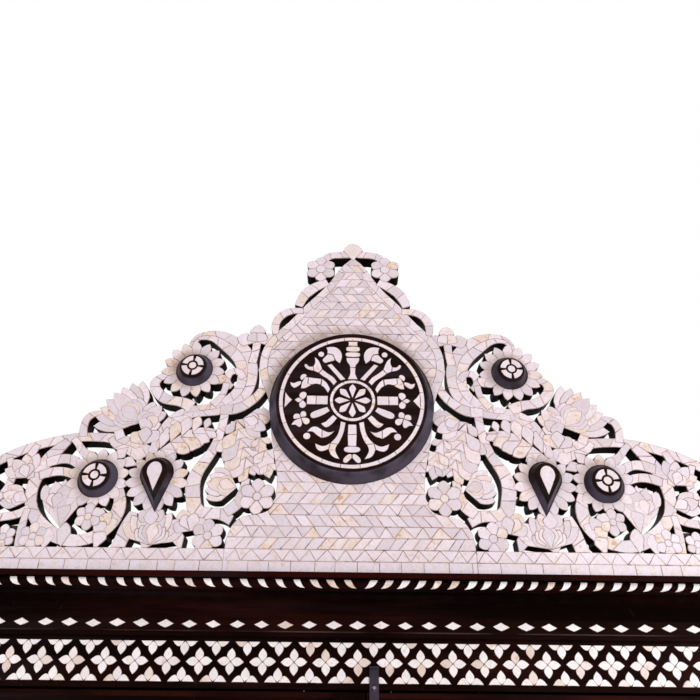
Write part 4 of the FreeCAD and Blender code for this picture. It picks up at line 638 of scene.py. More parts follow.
def boss_painted_shade(tree):
    """A mask of painted shade round the medallion, the bosses and the drops, shifted up and to the left with
    each one's height like a cast shadow.
    """
    rounds = [(0.0, MEDALLION_SHARE, MEDALLION_RADIUS, MEDALLION_FACE, MEDALLION_SHADE_LEAN)]
    for side in (-1, 1):
        rounds += [(side * across, up, BOSS_RADIUS, BOSS_FACE, BOSS_SHADE_LEAN) for across, up in BOSS_SHARES]
        across, up = TEARDROP_SHARES
        rounds.append((side * across, up, TEARDROP_RADIUS, TEARDROP_FACE, BOSS_SHADE_LEAN))
    place = object_place(tree)
    mask = 0.0
    for across, up, radius, face, lean in rounds:
        # Each painted shade is shifted up and to the left by the piece's height above the board, like a
        # shadow cast by light from the lower right.
        x, z = crest_place(across, up) + (CREST_FACE - face) * Vector(lean)
        away = distance(tree, place, Vector((x, CREST_FACE, z + CREST_FOOT)) * MM)
        near = spread(tree, away, radius * MM, (radius + SHADE_WIDTH) * MM, 1.0, 0.0)
        mask = reckon(tree, "MAXIMUM", mask, near)
    patches = spread(tree, noise(tree, place, 55.0, 3.0), 0.35, 0.65, 0.5, 1.0)
    return reckon(tree, "MULTIPLY", mask, patches)


def pearl_material(name):
    """Polished shell: each piece has its own tone, growth lines and flecks."""
    if name in bpy.data.materials:
        return bpy.data.materials[name]
    sizes = bpy.context.scene.armoire_shell
    ground, tint = (sizes.white, WHITE_CLOUDS) if name == "white_shell" else (sizes.pearl, PEARL_CLOUDS)
    material, tree, shader = blank_material(name)
    tone = node(tree, "ShaderNodeAttribute", attribute_name="tone").outputs["Fac"]
    lustre = effect(tree, "Shell lustre", shell_lustre, {
        "Tone": tone, "Shell": opaque(ground), "Cream": opaque(sizes.cream), "Fleck": opaque(sizes.fleck),
        "Cool": opaque([channel * share for channel, share in zip(ground, tint)])}).outputs
    colour = lustre["Colour"]
    if name == "crest_shell":
        stain = node(tree, "ShaderNodeAttribute", attribute_name="stain").outputs["Fac"]
        colour = mixed(tree, reckon(tree, "MULTIPLY", stain, RIM_STAIN_LEVEL), colour, opaque(RIM_STAIN))
        # Painted shade round the medallion, the bosses and the drops.
        painted_shade = reckon(tree, "MULTIPLY", boss_painted_shade(tree), BOSS_SHADE_LEVEL)
        colour = mixed(tree, painted_shade, colour, opaque(BOSS_SHADE))
    elif name == "white_shell":
        colour = mixed(tree, spread(tree, tone, 0.68, 0.90, 0.0, 0.5), colour, opaque(AGED_PETAL))
    finish_shader(tree, shader, colour, lustre["Roughness"], lustre["Height"], strength=0.08, depth=0.0002)
    shader.inputs["Coat Weight"].default_value = 0.25
    shader.inputs["Coat Roughness"].default_value = 0.12
    return material


def mastic_material():
    """Brown filler in the joints between shell pieces, dark where it has fallen out."""
    if "mastic" in bpy.data.materials:
        return bpy.data.materials["mastic"]
    colour = bpy.context.scene.armoire_shell.joint
    material, tree, shader = blank_material("mastic")
    place = object_place(tree)
    mottle = noise(tree, place, 42.0, 3.0)
    gaps = noise(tree, place, 110.0, 2.0)
    brown = mixed(tree, spread(tree, mottle, 0.45, 0.68), opaque(colour), opaque(DEEP_MASTIC))
    tree.links.new(mixed(tree, spread(tree, gaps, 0.56, 0.64), brown, opaque(OPEN_JOINT)),
                   shader.inputs["Base Color"])
    tree.links.new(spread(tree, mottle, 0.3, 0.7, 0.55, 0.8), shader.inputs["Roughness"])
    return material


def metal_material(name, colour, metallic, gloss):
    """Dull worked metal with scratches and darker patches."""
    if name in bpy.data.materials:
        return bpy.data.materials[name]
    material, tree, shader = blank_material(name)
    wear = effect(tree, "Handling", handling, {"Scale": 3.0}).outputs
    tarnished = mixed(tree, wear["Dull"], opaque(colour), opaque([c * 0.45 for c in colour]))
    scratched = mixed(tree, reckon(tree, "MULTIPLY", wear["Marks"], 0.6), tarnished,
                      opaque([min(1.0, c * 2.2) for c in colour]))
    dulled = spread(tree, wear["Dull"], 0.0, 1.0, *gloss)
    finish_shader(tree, shader, scratched, dulled, wear["Dull"], strength=0.25, depth=0.0004)
    shader.inputs["Metallic"].default_value = metallic
    return material


# Outlines in the plane of a face, in millimetres: across and up.

def sides(corners):
    """The sides of a closed run of corners, each as its two ends."""
    return zip(corners, corners[1:] + corners[:1])


def signed_area(outline):
    return sum(a[0] * b[1] - b[0] * a[1] for a, b in sides(outline)) / 2


def anticlockwise(outline):
    return outline if signed_area(outline) > 0 else outline[::-1]


def mirrored(outline):
    return [(-x, z) for x, z in outline][::-1]


class Batten:
    """The curve that a thin batten takes when it is bent through the given places."""

    def __init__(self, places):
        self.places = np.array(places, float)
        self.runs = np.linalg.norm(np.diff(self.places, axis=0), axis=1)
        count = len(places)
        system, load = np.eye(count), np.zeros_like(self.places)
        for row in range(1, count - 1):
            before, after = self.runs[row - 1], self.runs[row]
            system[row, row - 1:row + 2] = before, 2 * (before + after), after
            load[row] = 6 * ((self.places[row + 1] - self.places[row]) / after
                             - (self.places[row] - self.places[row - 1]) / before)
        self.bends = np.linalg.solve(system, load)

    def at(self, mark):
        """The place at a mark; whole marks are the given places."""
        row = min(int(mark), len(self.runs) - 1)
        run, share = self.runs[row], mark - row
        near, far = (1 - share) * run, share * run
        start, end = self.bends[row] / 6, self.bends[row + 1] / 6
        return (start * near ** 3 / run + end * far ** 3 / run
                + (self.places[row] / run - start * run) * near
                + (self.places[row + 1] / run - end * run) * far)

    def through(self, first, last, count):
        return [tuple(self.at(first + (last - first) * k / (count - 1))) for k in range(count)]


def circle(centre, radius, count=48):
    return [(centre[0] + radius * math.cos(2 * math.pi * k / count),
             centre[1] + radius * math.sin(2 * math.pi * k / count)) for k in range(count)]


def arc(first, middle, last, steps=4):
    """The round stretch through three places."""
    a, b, c = (complex(*place) for place in (first, middle, last))
    turn = (c - a) / (b - a)
    centre = a - (a - b) * (turn - abs(turn) ** 2) / (2j * turn.imag)
    sweep = cmath.phase((b - centre) / (a - centre)) + cmath.phase((c - centre) / (b - centre))
    places = [centre + (a - centre) * cmath.rect(1.0, sweep * k / steps) for k in range(steps + 1)]
    return [(place.real, place.imag) for place in places]


def petal(foot, tip, width):
    """A leaf: straight from a pointed foot to its shoulders, then two round cheeks up to the tip."""
    foot, tip = Vector(foot), Vector(tip)
    along = tip - foot
    across = Vector((-along.y, along.x)).normalized() * (width / 2)
    shoulder = foot + along * PETAL_SHOULDER_SHARE
    bend = foot + along * PETAL_BEND_SHARE
    cheek = across * PETAL_CHEEK_SHARE
    return ([tuple(foot)] + arc(shoulder - across, bend - cheek, tip)
            + arc(tip, bend + cheek, shoulder + across)[1:])


def eased(corners, rounds=2):
    """An outline with its corners cut a few times over, but for those marked sharp by a third value."""
    for _ in range(rounds):
        smoother = []
        for k, corner in enumerate(corners):
            if len(corner) > 2:
                smoother.append(corner)
                continue
            for other in (corners[k - 1], corners[(k + 1) % len(corners)]):
                smoother.append((0.75 * corner[0] + 0.25 * other[0], 0.75 * corner[1] + 0.25 * other[1]))
        corners = smoother
    return [corner[:2] for corner in corners]


def ring_segment(inner, outer, first, last, steps=6):
    """Part of a flat ring between two directions in degrees."""
    ways = [turned(first + (last - first) * k / (steps - 1)) for k in range(steps)]
    return [tuple(way * outer) for way in ways] + [tuple(way * inner) for way in reversed(ways)]


def turned(degrees):
    return Vector((math.cos(math.radians(degrees)), math.sin(math.radians(degrees))))


def crest_place(across, up):
    return Vector((across * CREST_HALF, up * CREST_RISE))


def share_band(rows):
    return [(*crest_place(across, up), width * CREST_RISE) for across, up, width in rows]


def band_edges(rows):
    """Both edges of a tapering band, from places with half widths in millimetres."""
    places = [Vector(row[:2]) for row in rows]
    left, right = [], []
    for number, row in enumerate(rows):
        along = places[min(number + 1, len(rows) - 1)] - places[max(number - 1, 0)]
        aside = Vector((-along.y, along.x)).normalized() * row[2]
        left.append(tuple(places[number] + aside))
        right.append(tuple(places[number] - aside))
    return Batten(left), Batten(right)


def band_pieces(rows, length, slant):
    """A band cut into pieces of about one length, with joints that lean to either side in turn.

    A broad band has two lanes, with the joints of one halfway between those of the other.
    """
    left, right = band_edges(rows)
    last = len(rows) - 1
    marks = [k / BAND_MARKS for k in range(BAND_MARKS * last + 1)]
    middles = [(left.at(mark) + right.at(mark)) / 2 for mark in marks]
    runs = np.concatenate(([0.0], np.cumsum([np.linalg.norm(b - a) for a, b in zip(middles, middles[1:])])))
    count = max(1, round(runs[-1] / length))
    lanes = 2 if max(row[2] for row in rows) > BROAD_BAND else 1
    reach = last / count * slant / 2

    def edge(share, start, end):
        return [tuple((1 - share) * left.at(mark) + share * right.at(mark))
                for mark in np.linspace(start, end, BAND_EDGE_POINTS)]

    pieces = []
    for lane in range(lanes):
        steps = [0.0] + [k - lane / 2 for k in range(1, count + lane)] + [float(count)]
        joints = [float(np.interp(runs[-1] * step / count, runs, marks)) for step in steps]
        leans = [0.0] + [reach * (1 if joint % 2 else -1) for joint in range(1, len(steps) - 1)] + [0.0]
        for k in range(len(joints) - 1):
            pieces.append(edge(lane / lanes, joints[k] + leans[k], joints[k + 1] + leans[k + 1])
                          + edge((lane + 1) / lanes, joints[k + 1] - leans[k + 1], joints[k] - leans[k]))
    return pieces


def ring_pieces(across, up, eye, reach, count, bossed):
    """Petals round a boss or round a small eye of their own."""
    centre = crest_place(across, up)
    inner, outer = eye * CREST_RISE, reach * CREST_RISE
    width = 2 * math.pi * (inner + PETAL_SHOULDER_SHARE * (outer - inner)) / count
    pieces = [circle(centre, (inner + outer) / 2, 24)]
    for number in range(count):
        ray = turned(90 + 360 * number / count)
        pieces.append(petal(centre + ray * inner * RING_FOOT_SHARE, centre + ray * outer, width))
    if not bossed:
        pieces.append(circle(centre, inner * RING_EYE_SHARE, 12))
    return pieces


def fan_pieces(across, up, reach, first, last, count, width):
    """Petals spread from one point, the middle ones on top; a long fan has a shorter row over its feet."""
    foot = crest_place(across, up)
    step = (last - first) / max(count - 1, 1)
    rows = [(reach, [first + step * k for k in range(count)], width)]
    if reach > SECOND_ROW_FAN and count > 1:
        between = [first + step * (k + 0.5) for k in range(count - 1)]
        rows.append((reach * SECOND_ROW_LENGTH, between, width * SECOND_ROW_WIDTH))
    pieces = []
    for length, directions, broad in rows:
        for degrees in sorted(directions, key=lambda way: -abs(way - (first + last) / 2)):
            pieces.append(petal(foot, foot + turned(degrees) * (length * CREST_RISE), broad * CREST_RISE))
    return pieces


def leaf_pieces(foot_share, tip_share, bow, pairs, reach):
    """Petals in pairs along a bowed spine, those nearer the foot over those nearer the tip."""
    foot, tip = crest_place(*foot_share), crest_place(*tip_share)
    along = tip - foot
    sideways = Vector((-along.y, along.x)) * bow
    heading = math.degrees(math.atan2(along.y, along.x))
    pieces = [petal(foot, tip, reach * CREST_RISE)]
    for number in reversed(range(pairs)):
        share = number / pairs
        swell = math.sin(math.pi * (share + 1 / (2 * pairs)))
        start = foot + along * share + sideways * (4 * share * (1 - share))
        length = reach * CREST_RISE * (1 + swell) / 2
        for lean in (LEAF_LEAN, -LEAF_LEAN):
            pieces.append(petal(start, start + turned(heading + lean) * length, length * LEAF_PETAL_SHARE))
    return pieces


def slanted_row(first, last, low, high, lines):
    """A row of quads or triangles between two heights; lines gives the foot and head of each joint."""
    pieces = []
    for (foot, head), (next_foot, next_head) in zip(lines, lines[1:]):
        corners = [(first + foot, low), (first + next_foot, low),
                   (first + next_head, high), (first + head, high)]
        pieces.append([corner for k, corner in enumerate(corners) if corner != corners[k - 1]])
    return [piece for piece in pieces if max(x for x, z in piece) > first and min(x for x, z in piece) < last]


def row_lines(kind, run, pitch, lean, chance):
    """Joints along a row: blocks, triangles, or pieces that lean to the right or left."""
    feet = [(k + chance.uniform(*UNEVEN_FEET)) * pitch for k in range(-1, int(run / pitch) + 3)]
    if kind == "triangles":
        heads = [a + (b - a) * chance.uniform(*UNEVEN_HEADS) for a, b in zip(feet, feet[1:])]
        return [line for k, head in enumerate(heads) for line in ((feet[k], head), (feet[k + 1], head))]
    way = {"blocks": 0.0, "right": lean, "left": -lean}[kind]
    return [(foot - way / 2, foot + way * chance.uniform(*UNEVEN_LEANS)) for foot in feet]


def base_rows(first, last, chance):
    """The two rows along the crest's foot: blocks below and triangles above."""
    block_top, strip_top = BLOCK_ROW_SHARE * CREST_RISE, STRIP_SHARE * CREST_RISE
    pieces = []
    for kind, low, high, pitch in (("blocks", 0.0, block_top, BLOCK_PITCH),
                                   ("triangles", block_top, strip_top, TRIANGLE_PITCH)):
        lines = row_lines(kind, last - first, pitch, 0.0, chance)
        row = slanted_row(first, last, low, high, lines)
        pieces += [[(min(max(x, first), last), z) for x, z in piece] for piece in row]
    return pieces


def field_rows(chance):
    """Rows of triangles and leaning pieces over the whole field."""
    pieces = []
    low, reach = STRIP_SHARE * CREST_RISE, FIELD_REACH_SHARE * CREST_HALF
    number = 0
    while low < FIELD_HEAD_SHARE * CREST_RISE:
        kind = FIELD_KINDS[number % len(FIELD_KINDS)]
        lines = row_lines(kind, 2 * reach, FIELD_PITCHES[kind], FIELD_LEAN, chance)
        first = -reach + chance.uniform(-FIELD_START_SHIFT, 0)
        pieces += slanted_row(first, reach, low, low + FIELD_ROW_HEIGHT, lines)
        low += FIELD_ROW_HEIGHT
        number += 1
    return pieces


def field_edge():
    return Batten([crest_place(*share) for share in FIELD_SHARES])


def field_outline():
    last = len(FIELD_SHARES) - 1
    right = field_edge().through(0, last, FIELD_STEPS * last + 1)
    return right + mirrored(right)[:-1]


def border_pieces():
    """The strip that edges the field from the finial down past the medallion."""
    edge = field_edge()
    rows = []
    for mark in EDGE_STRIP_MARKS:
        here, ahead = Vector(edge.at(mark)), Vector(edge.at(mark + EDGE_STRIP_STEP))
        along = (ahead - here).normalized()
        rows.append((*(here + Vector((along.y, -along.x)) * EDGE_STRIP_HALF), EDGE_STRIP_HALF))
    pieces = band_pieces(rows, EDGE_STRIP_LENGTH, EDGE_STRIP_SLANT)
    return pieces + [mirrored(piece) for piece in pieces]


def centre_forms():
    """The finial's bands, rings and top petal, which lie over the field."""
    forms = []
    for rows in CENTRE_BAND_SHARES:
        forms += band_pieces(share_band(rows), FINIAL_LENGTH, FINIAL_SLANT)
    for row in CENTRE_RING_SHARES:
        forms += ring_pieces(*row, bossed=False)
    forms += [mirrored(form) for form in forms]
    for row in CENTRE_FAN_SHARES:
        forms += fan_pieces(*row)
    return forms


def wing_forms():
    """The right wing's bands, petals, leaves, fans and rings, from the lowest to the topmost."""
    forms = []
    for number, rows in enumerate(WING_BAND_SHARES):
        slant = STEM_SLANT if number in STEM_BANDS else WING_SLANT
        forms += band_pieces(share_band(rows), WING_LENGTH, slant)
    for foot, tip, width in WING_PETAL_SHARES:
        forms.append(petal(crest_place(*foot), crest_place(*tip), width * CREST_RISE))
    for row in WING_LEAF_SHARES:
        forms += leaf_pieces(*row)
    for row in WING_FAN_SHARES:
        forms += fan_pieces(*row)
    for number, row in enumerate(WING_RING_SHARES):
        forms += ring_pieces(*row, bossed=number < BOSSED_RINGS)
    return forms


def teardrop_outline(inset):
    """The drop's outline at its foot or, drawn in by an inset, at its face."""
    centre = crest_place(*TEARDROP_SHARES)
    drop = TEARDROP_LENGTH - TEARDROP_RADIUS
    radius = TEARDROP_RADIUS - inset
    reach = drop - inset * drop / TEARDROP_RADIUS
    tip = centre + Vector((TEARDROP_TIP_SHARE * CREST_HALF * reach / drop, -reach))
    lean = math.asin(radius / reach)
    outline = [tuple(tip)]
    for k in range(TEARDROP_STEPS + 1):
        angle = -lean + (math.pi + 2 * lean) * k / TEARDROP_STEPS
        outline.append((centre.x + radius * math.cos(angle), centre.y + radius * math.sin(angle)))
    return outline


# Mosaic

def covers(outline, middles):
    """Which of the given places lie inside an outline."""
    corners = np.array(outline, float)
    near = np.all((middles > corners.min(0)) & (middles < corners.max(0)), axis=1)
    inside = np.zeros(len(middles), bool)
    x, z = middles[near].T
    crossed = np.zeros(len(x), bool)
    for (x0, z0), (x1, z1) in zip(corners, np.roll(corners, -1, axis=0)):
        if z0 != z1:
            crossed ^= ((z0 > z) != (z1 > z)) & (x < (x1 - x0) * (z - z0) / (z1 - z0) + x0)
    inside[near] = crossed
    return inside


def covered_triangles(layers, voids):
    """Triangles of the plane, each with the number of the topmost outline over it.

    A layer is a list of outlines with the outline that they are kept within, or None; later ones lie on top.
    """
    drawn = [outline for outlines, _ in layers for outline in outlines]
    drawn += voids + [holder for _, holder in layers if holder]
    points, edges = [], []
    for outline in drawn:
        first, count = len(points), len(outline)
        points += [Vector(place) for place in outline]
        edges += [(first + k, first + (k + 1) % count) for k in range(count)]
    places, _, triangles, *_ = geometry.delaunay_2d_cdt(points, edges, [], 0, MERGE_DISTANCE, False)
    middles = np.array([sum((places[corner] for corner in triangle), Vector((0.0, 0.0))) / 3
                        for triangle in triangles])
    owners = np.full(len(triangles), -1)
    number = 0
    for outlines, holder in layers:
        held = covers(holder, middles) if holder else np.ones(len(middles), bool)
        for outline in outlines:
            owners[covers(outline, middles) & held] = number
            number += 1
    for outline in voids:
        owners[covers(outline, middles)] = -1
    return places, [(tuple(triangle), top) for triangle, top in zip(triangles, owners) if top >= 0]


def neighbours(places, kept):
    """For every triangle, the triangles beside it with the lengths of the sides between."""
    users = {}
    for number, (triangle, _) in enumerate(kept):
        for a, b in sides(triangle):
            users.setdefault((min(a, b), max(a, b)), []).append(number)
    links = [[] for _ in kept]
    for (a, b), pair in users.items():
        if len(pair) == 2:
            run = (places[a] - places[b]).length
            links[pair[0]].append((pair[1], run))
            links[pair[1]].append((pair[0], run))
    return links


def first_regions(kept, links):
    """The region of every triangle, and the triangles of every region: connected, under one outline."""
    region, members = [-1] * len(kept), {}
    for start, (_, top) in enumerate(kept):
        if region[start] >= 0:
            continue
        region[start] = start
        stack, found = [start], []
        while stack:
            here = stack.pop()
            found.append(here)
            for other, _ in links[here]:
                if region[other] < 0 and kept[other][1] == top:
                    region[other] = start
                    stack.append(other)
        members[start] = found
    return region, members


def joined_regions(places, kept):
    """Connected triangles under one outline, with slivers given to the neighbour they touch most."""
    links = neighbours(places, kept)
    region, members = first_regions(kept, links)
    corners = [[places[corner] for corner in triangle] for triangle, _ in kept]
    areas = [abs(geometry.area_tri(*trio)) for trio in corners]
    for label in sorted(members, key=lambda key: sum(areas[number] for number in members[key])):
        area = sum(areas[number] for number in members[label])
        rim, touching = 0.0, {}
        for number in members[label]:
            inside = 0.0
            for other, run in links[number]:
                if region[other] == label:
                    inside += run
                else:
                    touching[region[other]] = touching.get(region[other], 0.0) + run
            rim += sum((a - b).length for a, b in sides(corners[number]))
            rim -= inside
        if touching and (area < SMALLEST_TESSERA or area / rim < THINNEST_TESSERA):
            host = max(touching, key=touching.get)
            for number in members[label]:
                region[number] = host
            members[host] += members.pop(label)
    return members


def rim_loops(kept, numbers):
    """Closed runs of corners round some triangles, anticlockwise outside and clockwise round holes."""
    ahead = set()
    for number in numbers:
        ahead.update(sides(kept[number][0]))
    following = {}
    for a, b in ahead:
        if (b, a) not in ahead:
            following.setdefault(a, []).append(b)
    loops = []
    while following:
        loop, here = [], next(iter(following))
        while here in following:
            loop.append(here)
            after = following[here].pop()
            if not following[here]:
                del following[here]
            here = after
        loops.append(loop)
    return loops


def fitted_pieces(layers, voids):
    """The corners of the plane and the closed outline of every tessera; one with a hole is cut in two."""
    places, kept = covered_triangles(layers, voids)
    waiting = list(joined_regions(places, kept).values())
    pieces = []

    def area(loop):
        return signed_area([places[k] for k in loop])

    while waiting:
        numbers = waiting.pop()
        loops = sorted(rim_loops(kept, numbers), key=lambda loop: -abs(area(loop)))
        if len(loops) > 1 and len(numbers) > 1:
            middle = sum(places[k].x for k in loops[1]) / len(loops[1])
            halves = [[], []]
            for number in numbers:
                halves[sum(places[k].x for k in kept[number][0]) / 3 < middle].append(number)
            if all(halves):
                waiting += halves
                continue
        if area(loops[0]) > LEAST_AREA:
            pieces.append(loops[0])
    return places, pieces


def crosses(outline):
    """Whether any two sides of an outline cut each other."""
    count = len(outline)
    for first in range(count):
        for second in range(first + 2, count - (first == 0)):
            if geometry.intersect_line_line_2d(outline[first], outline[first + 1],
                                               outline[second], outline[(second + 1) % count]):
                return True
    return False


def drawn_in(outline, gap):
    """The outline moved inwards by a gap, or by less where a thin end leaves no room."""
    area, count = signed_area(outline), len(outline)
    backs = [outline[k] - outline[k - 1] for k in range(count)]
    for share in INSET_TRIES:
        inner = []
        for k, here in enumerate(outline):
            back, on = backs[k], backs[(k + 1) % count]
            if back.length < SAME_PLACE or on.length < SAME_PLACE:
                inner.append(here)
                continue
            first = Vector((-back.y, back.x)).normalized()
            second = Vector((-on.y, on.x)).normalized()
            whole = (first + second) / max(1 + first.dot(second), SHARPEST_MITRE)
            inner.append(here + whole * gap * share)
        turned_over = any((inner[k] - inner[k - 1]).dot(backs[k]) < 0 and backs[k].length > SHORT_SIDE
                          for k in range(count))
        if not turned_over and signed_area(inner) > LEAST_CORE * area and not crosses(inner):
            return inner
    return outline


def stained_core(outline, middle):
    """The part of a tessera's top within its stained rim, or the whole top where no rim fits."""
    core = drawn_in(outline, STAIN_WIDTH)
    if (core[0] - outline[0]).length > LEAST_MOVE:
        return core
    spokes = [place - middle for place in outline]
    if all(a.x * b.y - b.x * a.y > 0 for a, b in sides(spokes)):
        return [middle + spoke * STAIN_SHRINK for spoke in spokes]
    return outline


def give_shell(mesh, shell):
    """Gives a mesh its shell and the mastic round it, and room for the tone of every face."""
    mesh.materials.append(pearl_material(shell))
    mesh.materials.append(mastic_material())
    mesh.attributes.new("tone", "FLOAT", "FACE")


def mosaic_object(name, places, pieces, chance):
    """One closed sheet of tesserae on the crest's face, each with its own tone and a slight tilt."""
    sizes = bpy.context.scene.armoire_shell
    gap, depth = sizes.joint_width / MM, sizes.depth / MM
    used = sorted({corner for piece in pieces for corner in piece})
    front = {corner: k for k, corner in enumerate(used)}
    back = {corner: k + len(used) for k, corner in enumerate(used)}
    points = [(places[c].x, CREST_FACE - level, places[c].y + CREST_FOOT)
              for level in (depth * JOINT_LEVEL, 0.0) for c in used]
    stains = [1.0] * len(points)
    faces, finish, tones = [], [], []
    ahead = {side for piece in pieces for side in sides(piece)}
    for piece in pieces:
        tone, rim_stain = chance.random() ** TONE_FALL, 1.0
        inner = drawn_in([places[c] for c in piece], gap)
        middle = sum(inner, Vector((0.0, 0.0))) / len(inner)
        # Painted light: the foot rows get high tones and less rim stain, as if lit from the front.
        if middle.y < STRIP_SHARE * CREST_RISE:
            tone, rim_stain = LIT_FOOT_ROW_TONES[0] + LIT_FOOT_ROW_TONES[1] * tone, LIT_FOOT_ROW_STAIN
        tilt = Vector((chance.uniform(-TILT, TILT), chance.uniform(-TILT, TILT)))
        core = stained_core(inner, middle)
        ringed = core != inner
        start, count = len(points), len(piece)
        top = start + count * ringed
        for place in inner + core * ringed:
            lift = max(depth * LIFTS[0], min(depth * LIFTS[1], depth + tilt.dot(place - middle)))
            points.append((place.x, CREST_FACE - lift, place.y + CREST_FOOT))
        stains += ([rim_stain] * count + [0.0] * count) if ringed else [STAIN_UNRIMMED] * count
        made = [(list(range(top, top + count)), SHELL_FACE),
                ([back[c] for c in reversed(piece)], MASTIC_FACE)]
        for k, (a, b) in enumerate(sides(piece)):
            on = (k + 1) % count
            made.append(([front[a], front[b], start + on, start + k], MASTIC_FACE))
            if ringed:
                made.append(([start + k, start + on, top + on, top + k], SHELL_FACE))
            if (b, a) not in ahead:
                made.append(([front[a], back[a], back[b], front[b]], MASTIC_FACE))
        faces += [face for face, _ in made]
        finish += [slot for _, slot in made]
        tones += [tone] * len(made)
    mesh = bpy.data.meshes.new(name)
    mesh.from_pydata([tuple(value * MM for value in point) for point in points], [], faces)
    give_shell(mesh, "crest_shell")
    mesh.attributes.new("stain", "FLOAT", "POINT")
    mesh.polygons.foreach_set("material_index", finish)
    mesh.attributes["stain"].data.foreach_set("value", stains)
    mesh.attributes["tone"].data.foreach_set("value", tones)
    mesh.validate()
    return linked(name, mesh)


def linked(name, data):
    made = bpy.data.objects.new(name, data)
    bpy.context.scene.collection.objects.link(made)
    return made


# Inlay: one piece is cut to shape, and copies of it are set in place.

def alone():
    if bpy.context.object and bpy.context.object.mode != "OBJECT":
        bpy.ops.object.mode_set(mode="OBJECT")
    bpy.ops.object.select_all(action="DESELECT")


def cut_piece(name, outline, shell="white_shell"):
    """A shell piece of the given outline with a mastic rim, its back on the plane y = 0, facing forward."""
    sizes = bpy.context.scene.armoire_shell
    outline = anticlockwise([tuple(place) for place in outline])
    alone()
    bpy.ops.mesh.primitive_circle_add(vertices=len(outline), fill_type="NGON", enter_editmode=True)
    piece = bpy.context.object
    piece.name = name
    shape = bmesh.from_edit_mesh(piece.data)
    shape.verts.ensure_lookup_table()
    for corner, (x, z) in zip(shape.verts, outline):
        corner.co = (x * MM, 0.0, z * MM)
    shape.normal_update()
    for face in shape.faces:
        if face.normal.y > 0:
            face.normal_flip()
    bmesh.update_edit_mesh(piece.data)
    bpy.ops.mesh.select_all(action="SELECT")
    wall = (0.0, -sizes.inlay_depth * INLAY_WALL, 0.0)
    bpy.ops.mesh.extrude_region_move(TRANSFORM_OT_translate={"value": wall})
    bpy.ops.mesh.inset(thickness=sizes.joint_width * INLAY_RIM, depth=sizes.inlay_depth * INLAY_SLOPE)
    bpy.ops.object.mode_set(mode="OBJECT")
    mesh = piece.data
    give_shell(mesh, shell)
    front = min(face.center.y for face in mesh.polygons)
    for face in mesh.polygons:
        face.material_index = SHELL_FACE if abs(face.center.y - front) < SAME_PLACE else MASTIC_FACE
    return piece


def set_copies(name, body, copies, chance):
    """Joins copies of cut pieces, given with their places, each in a tone of its own, into one on a body."""
    made = []
    for pattern, place in copies:
        mesh = pattern.data.copy()
        mesh.transform(place)
        if place.determinant() < 0:
            mesh.flip_normals()
        tone = INLAY_TONES[0] + INLAY_TONES[1] * chance.random() ** INLAY_TONE_FALL
        mesh.attributes["tone"].data.foreach_set("value", [tone] * len(mesh.polygons))
        made.append(linked(name, mesh))
    alone()
    for copy in made:
        copy.select_set(True)
    bpy.context.view_layer.objects.active = made[0]
    bpy.ops.object.join()
    joined = bpy.context.object
    joined.name = joined.data.name = name
    settle(joined, body)


def clear_away(pieces):
    for piece in pieces:
        bpy.data.objects.remove(piece)


def settle(piece, body):
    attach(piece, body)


def spot(x, y, z, degrees=0.0, mirror=False, facing=0.0):
    """The place of a copy: turned in the plane of its face, moved, and facing front, left or right."""
    turn = Matrix.Rotation(math.radians(-degrees), 4, "Y")
    flip = Matrix.Diagonal((-1.0, 1.0, 1.0, 1.0)) if mirror else Matrix.Identity(4)
    face = Matrix.Rotation(math.radians(facing), 4, "Z")
    return Matrix.Translation(Vector((x, y, z)) * MM) @ face @ turn @ flip


def scaled(place, across, up=None):
    """A place with its copy scaled across and up, or both alike."""
    return place @ Matrix.Diagonal((across, 1.0, across if up is None else up, 1.0))


def flower_petal(length, width):
    """One petal of a four-petal flower: a square corner at its foot and a pointed tip."""
    side = [(half * width, share * length) for share, half in PETAL_SIDE]
    return [(0.0, PETAL_FOOT)] + side + [(0.0, length)] + [(-x, z) for x, z in reversed(side)]


def rope_leaf():
    """A leaf bent round the half-round moulding, its tip below; the moulding's middle is at the origin."""
    radius = (ROUND_TOP - ROUND_FOOT) / 2
    alone()
    bpy.ops.mesh.primitive_grid_add(x_subdivisions=1, y_subdivisions=len(ROPE_OUTER) - 1, enter_editmode=True)
    leaf = bpy.context.object
    shape = bmesh.from_edit_mesh(leaf.data)
    rows = sorted(shape.verts, key=lambda corner: (-round(corner.co.y, 4), corner.co.x))
    edges = [place for pair in zip(ROPE_OUTER, ROPE_INNER) for place in pair]
    for corner, (x, share) in zip(rows, edges):
        angle = math.radians(ROPE_TOP + (ROPE_TIP - ROPE_TOP) * share)
        corner.co = Vector((x, -radius * math.cos(angle), -radius * math.sin(angle))) * MM
    bmesh.update_edit_mesh(leaf.data)
    bpy.ops.mesh.select_all(action="SELECT")
    bpy.ops.mesh.normals_make_consistent(inside=False)
    bpy.ops.object.mode_set(mode="OBJECT")
    mesh = leaf.data
    if sum(face.normal.dot(face.center) for face in mesh.polygons) < 0:
        mesh.flip_normals()
    thick = leaf.modifiers.new("thickness", "SOLIDIFY")
    thick.thickness = bpy.context.scene.armoire_shell.inlay_depth
    thick.offset = 1.0
    bpy.ops.object.modifier_apply(modifier=thick.name)
    mesh = leaf.data
    give_shell(mesh, "white_shell")
    for face in mesh.polygons:
        outward = Vector((0.0, face.center.y, face.center.z)).normalized()
        face.material_index = SHELL_FACE if face.normal.dot(outward) > 0.5 else MASTIC_FACE
    return leaf


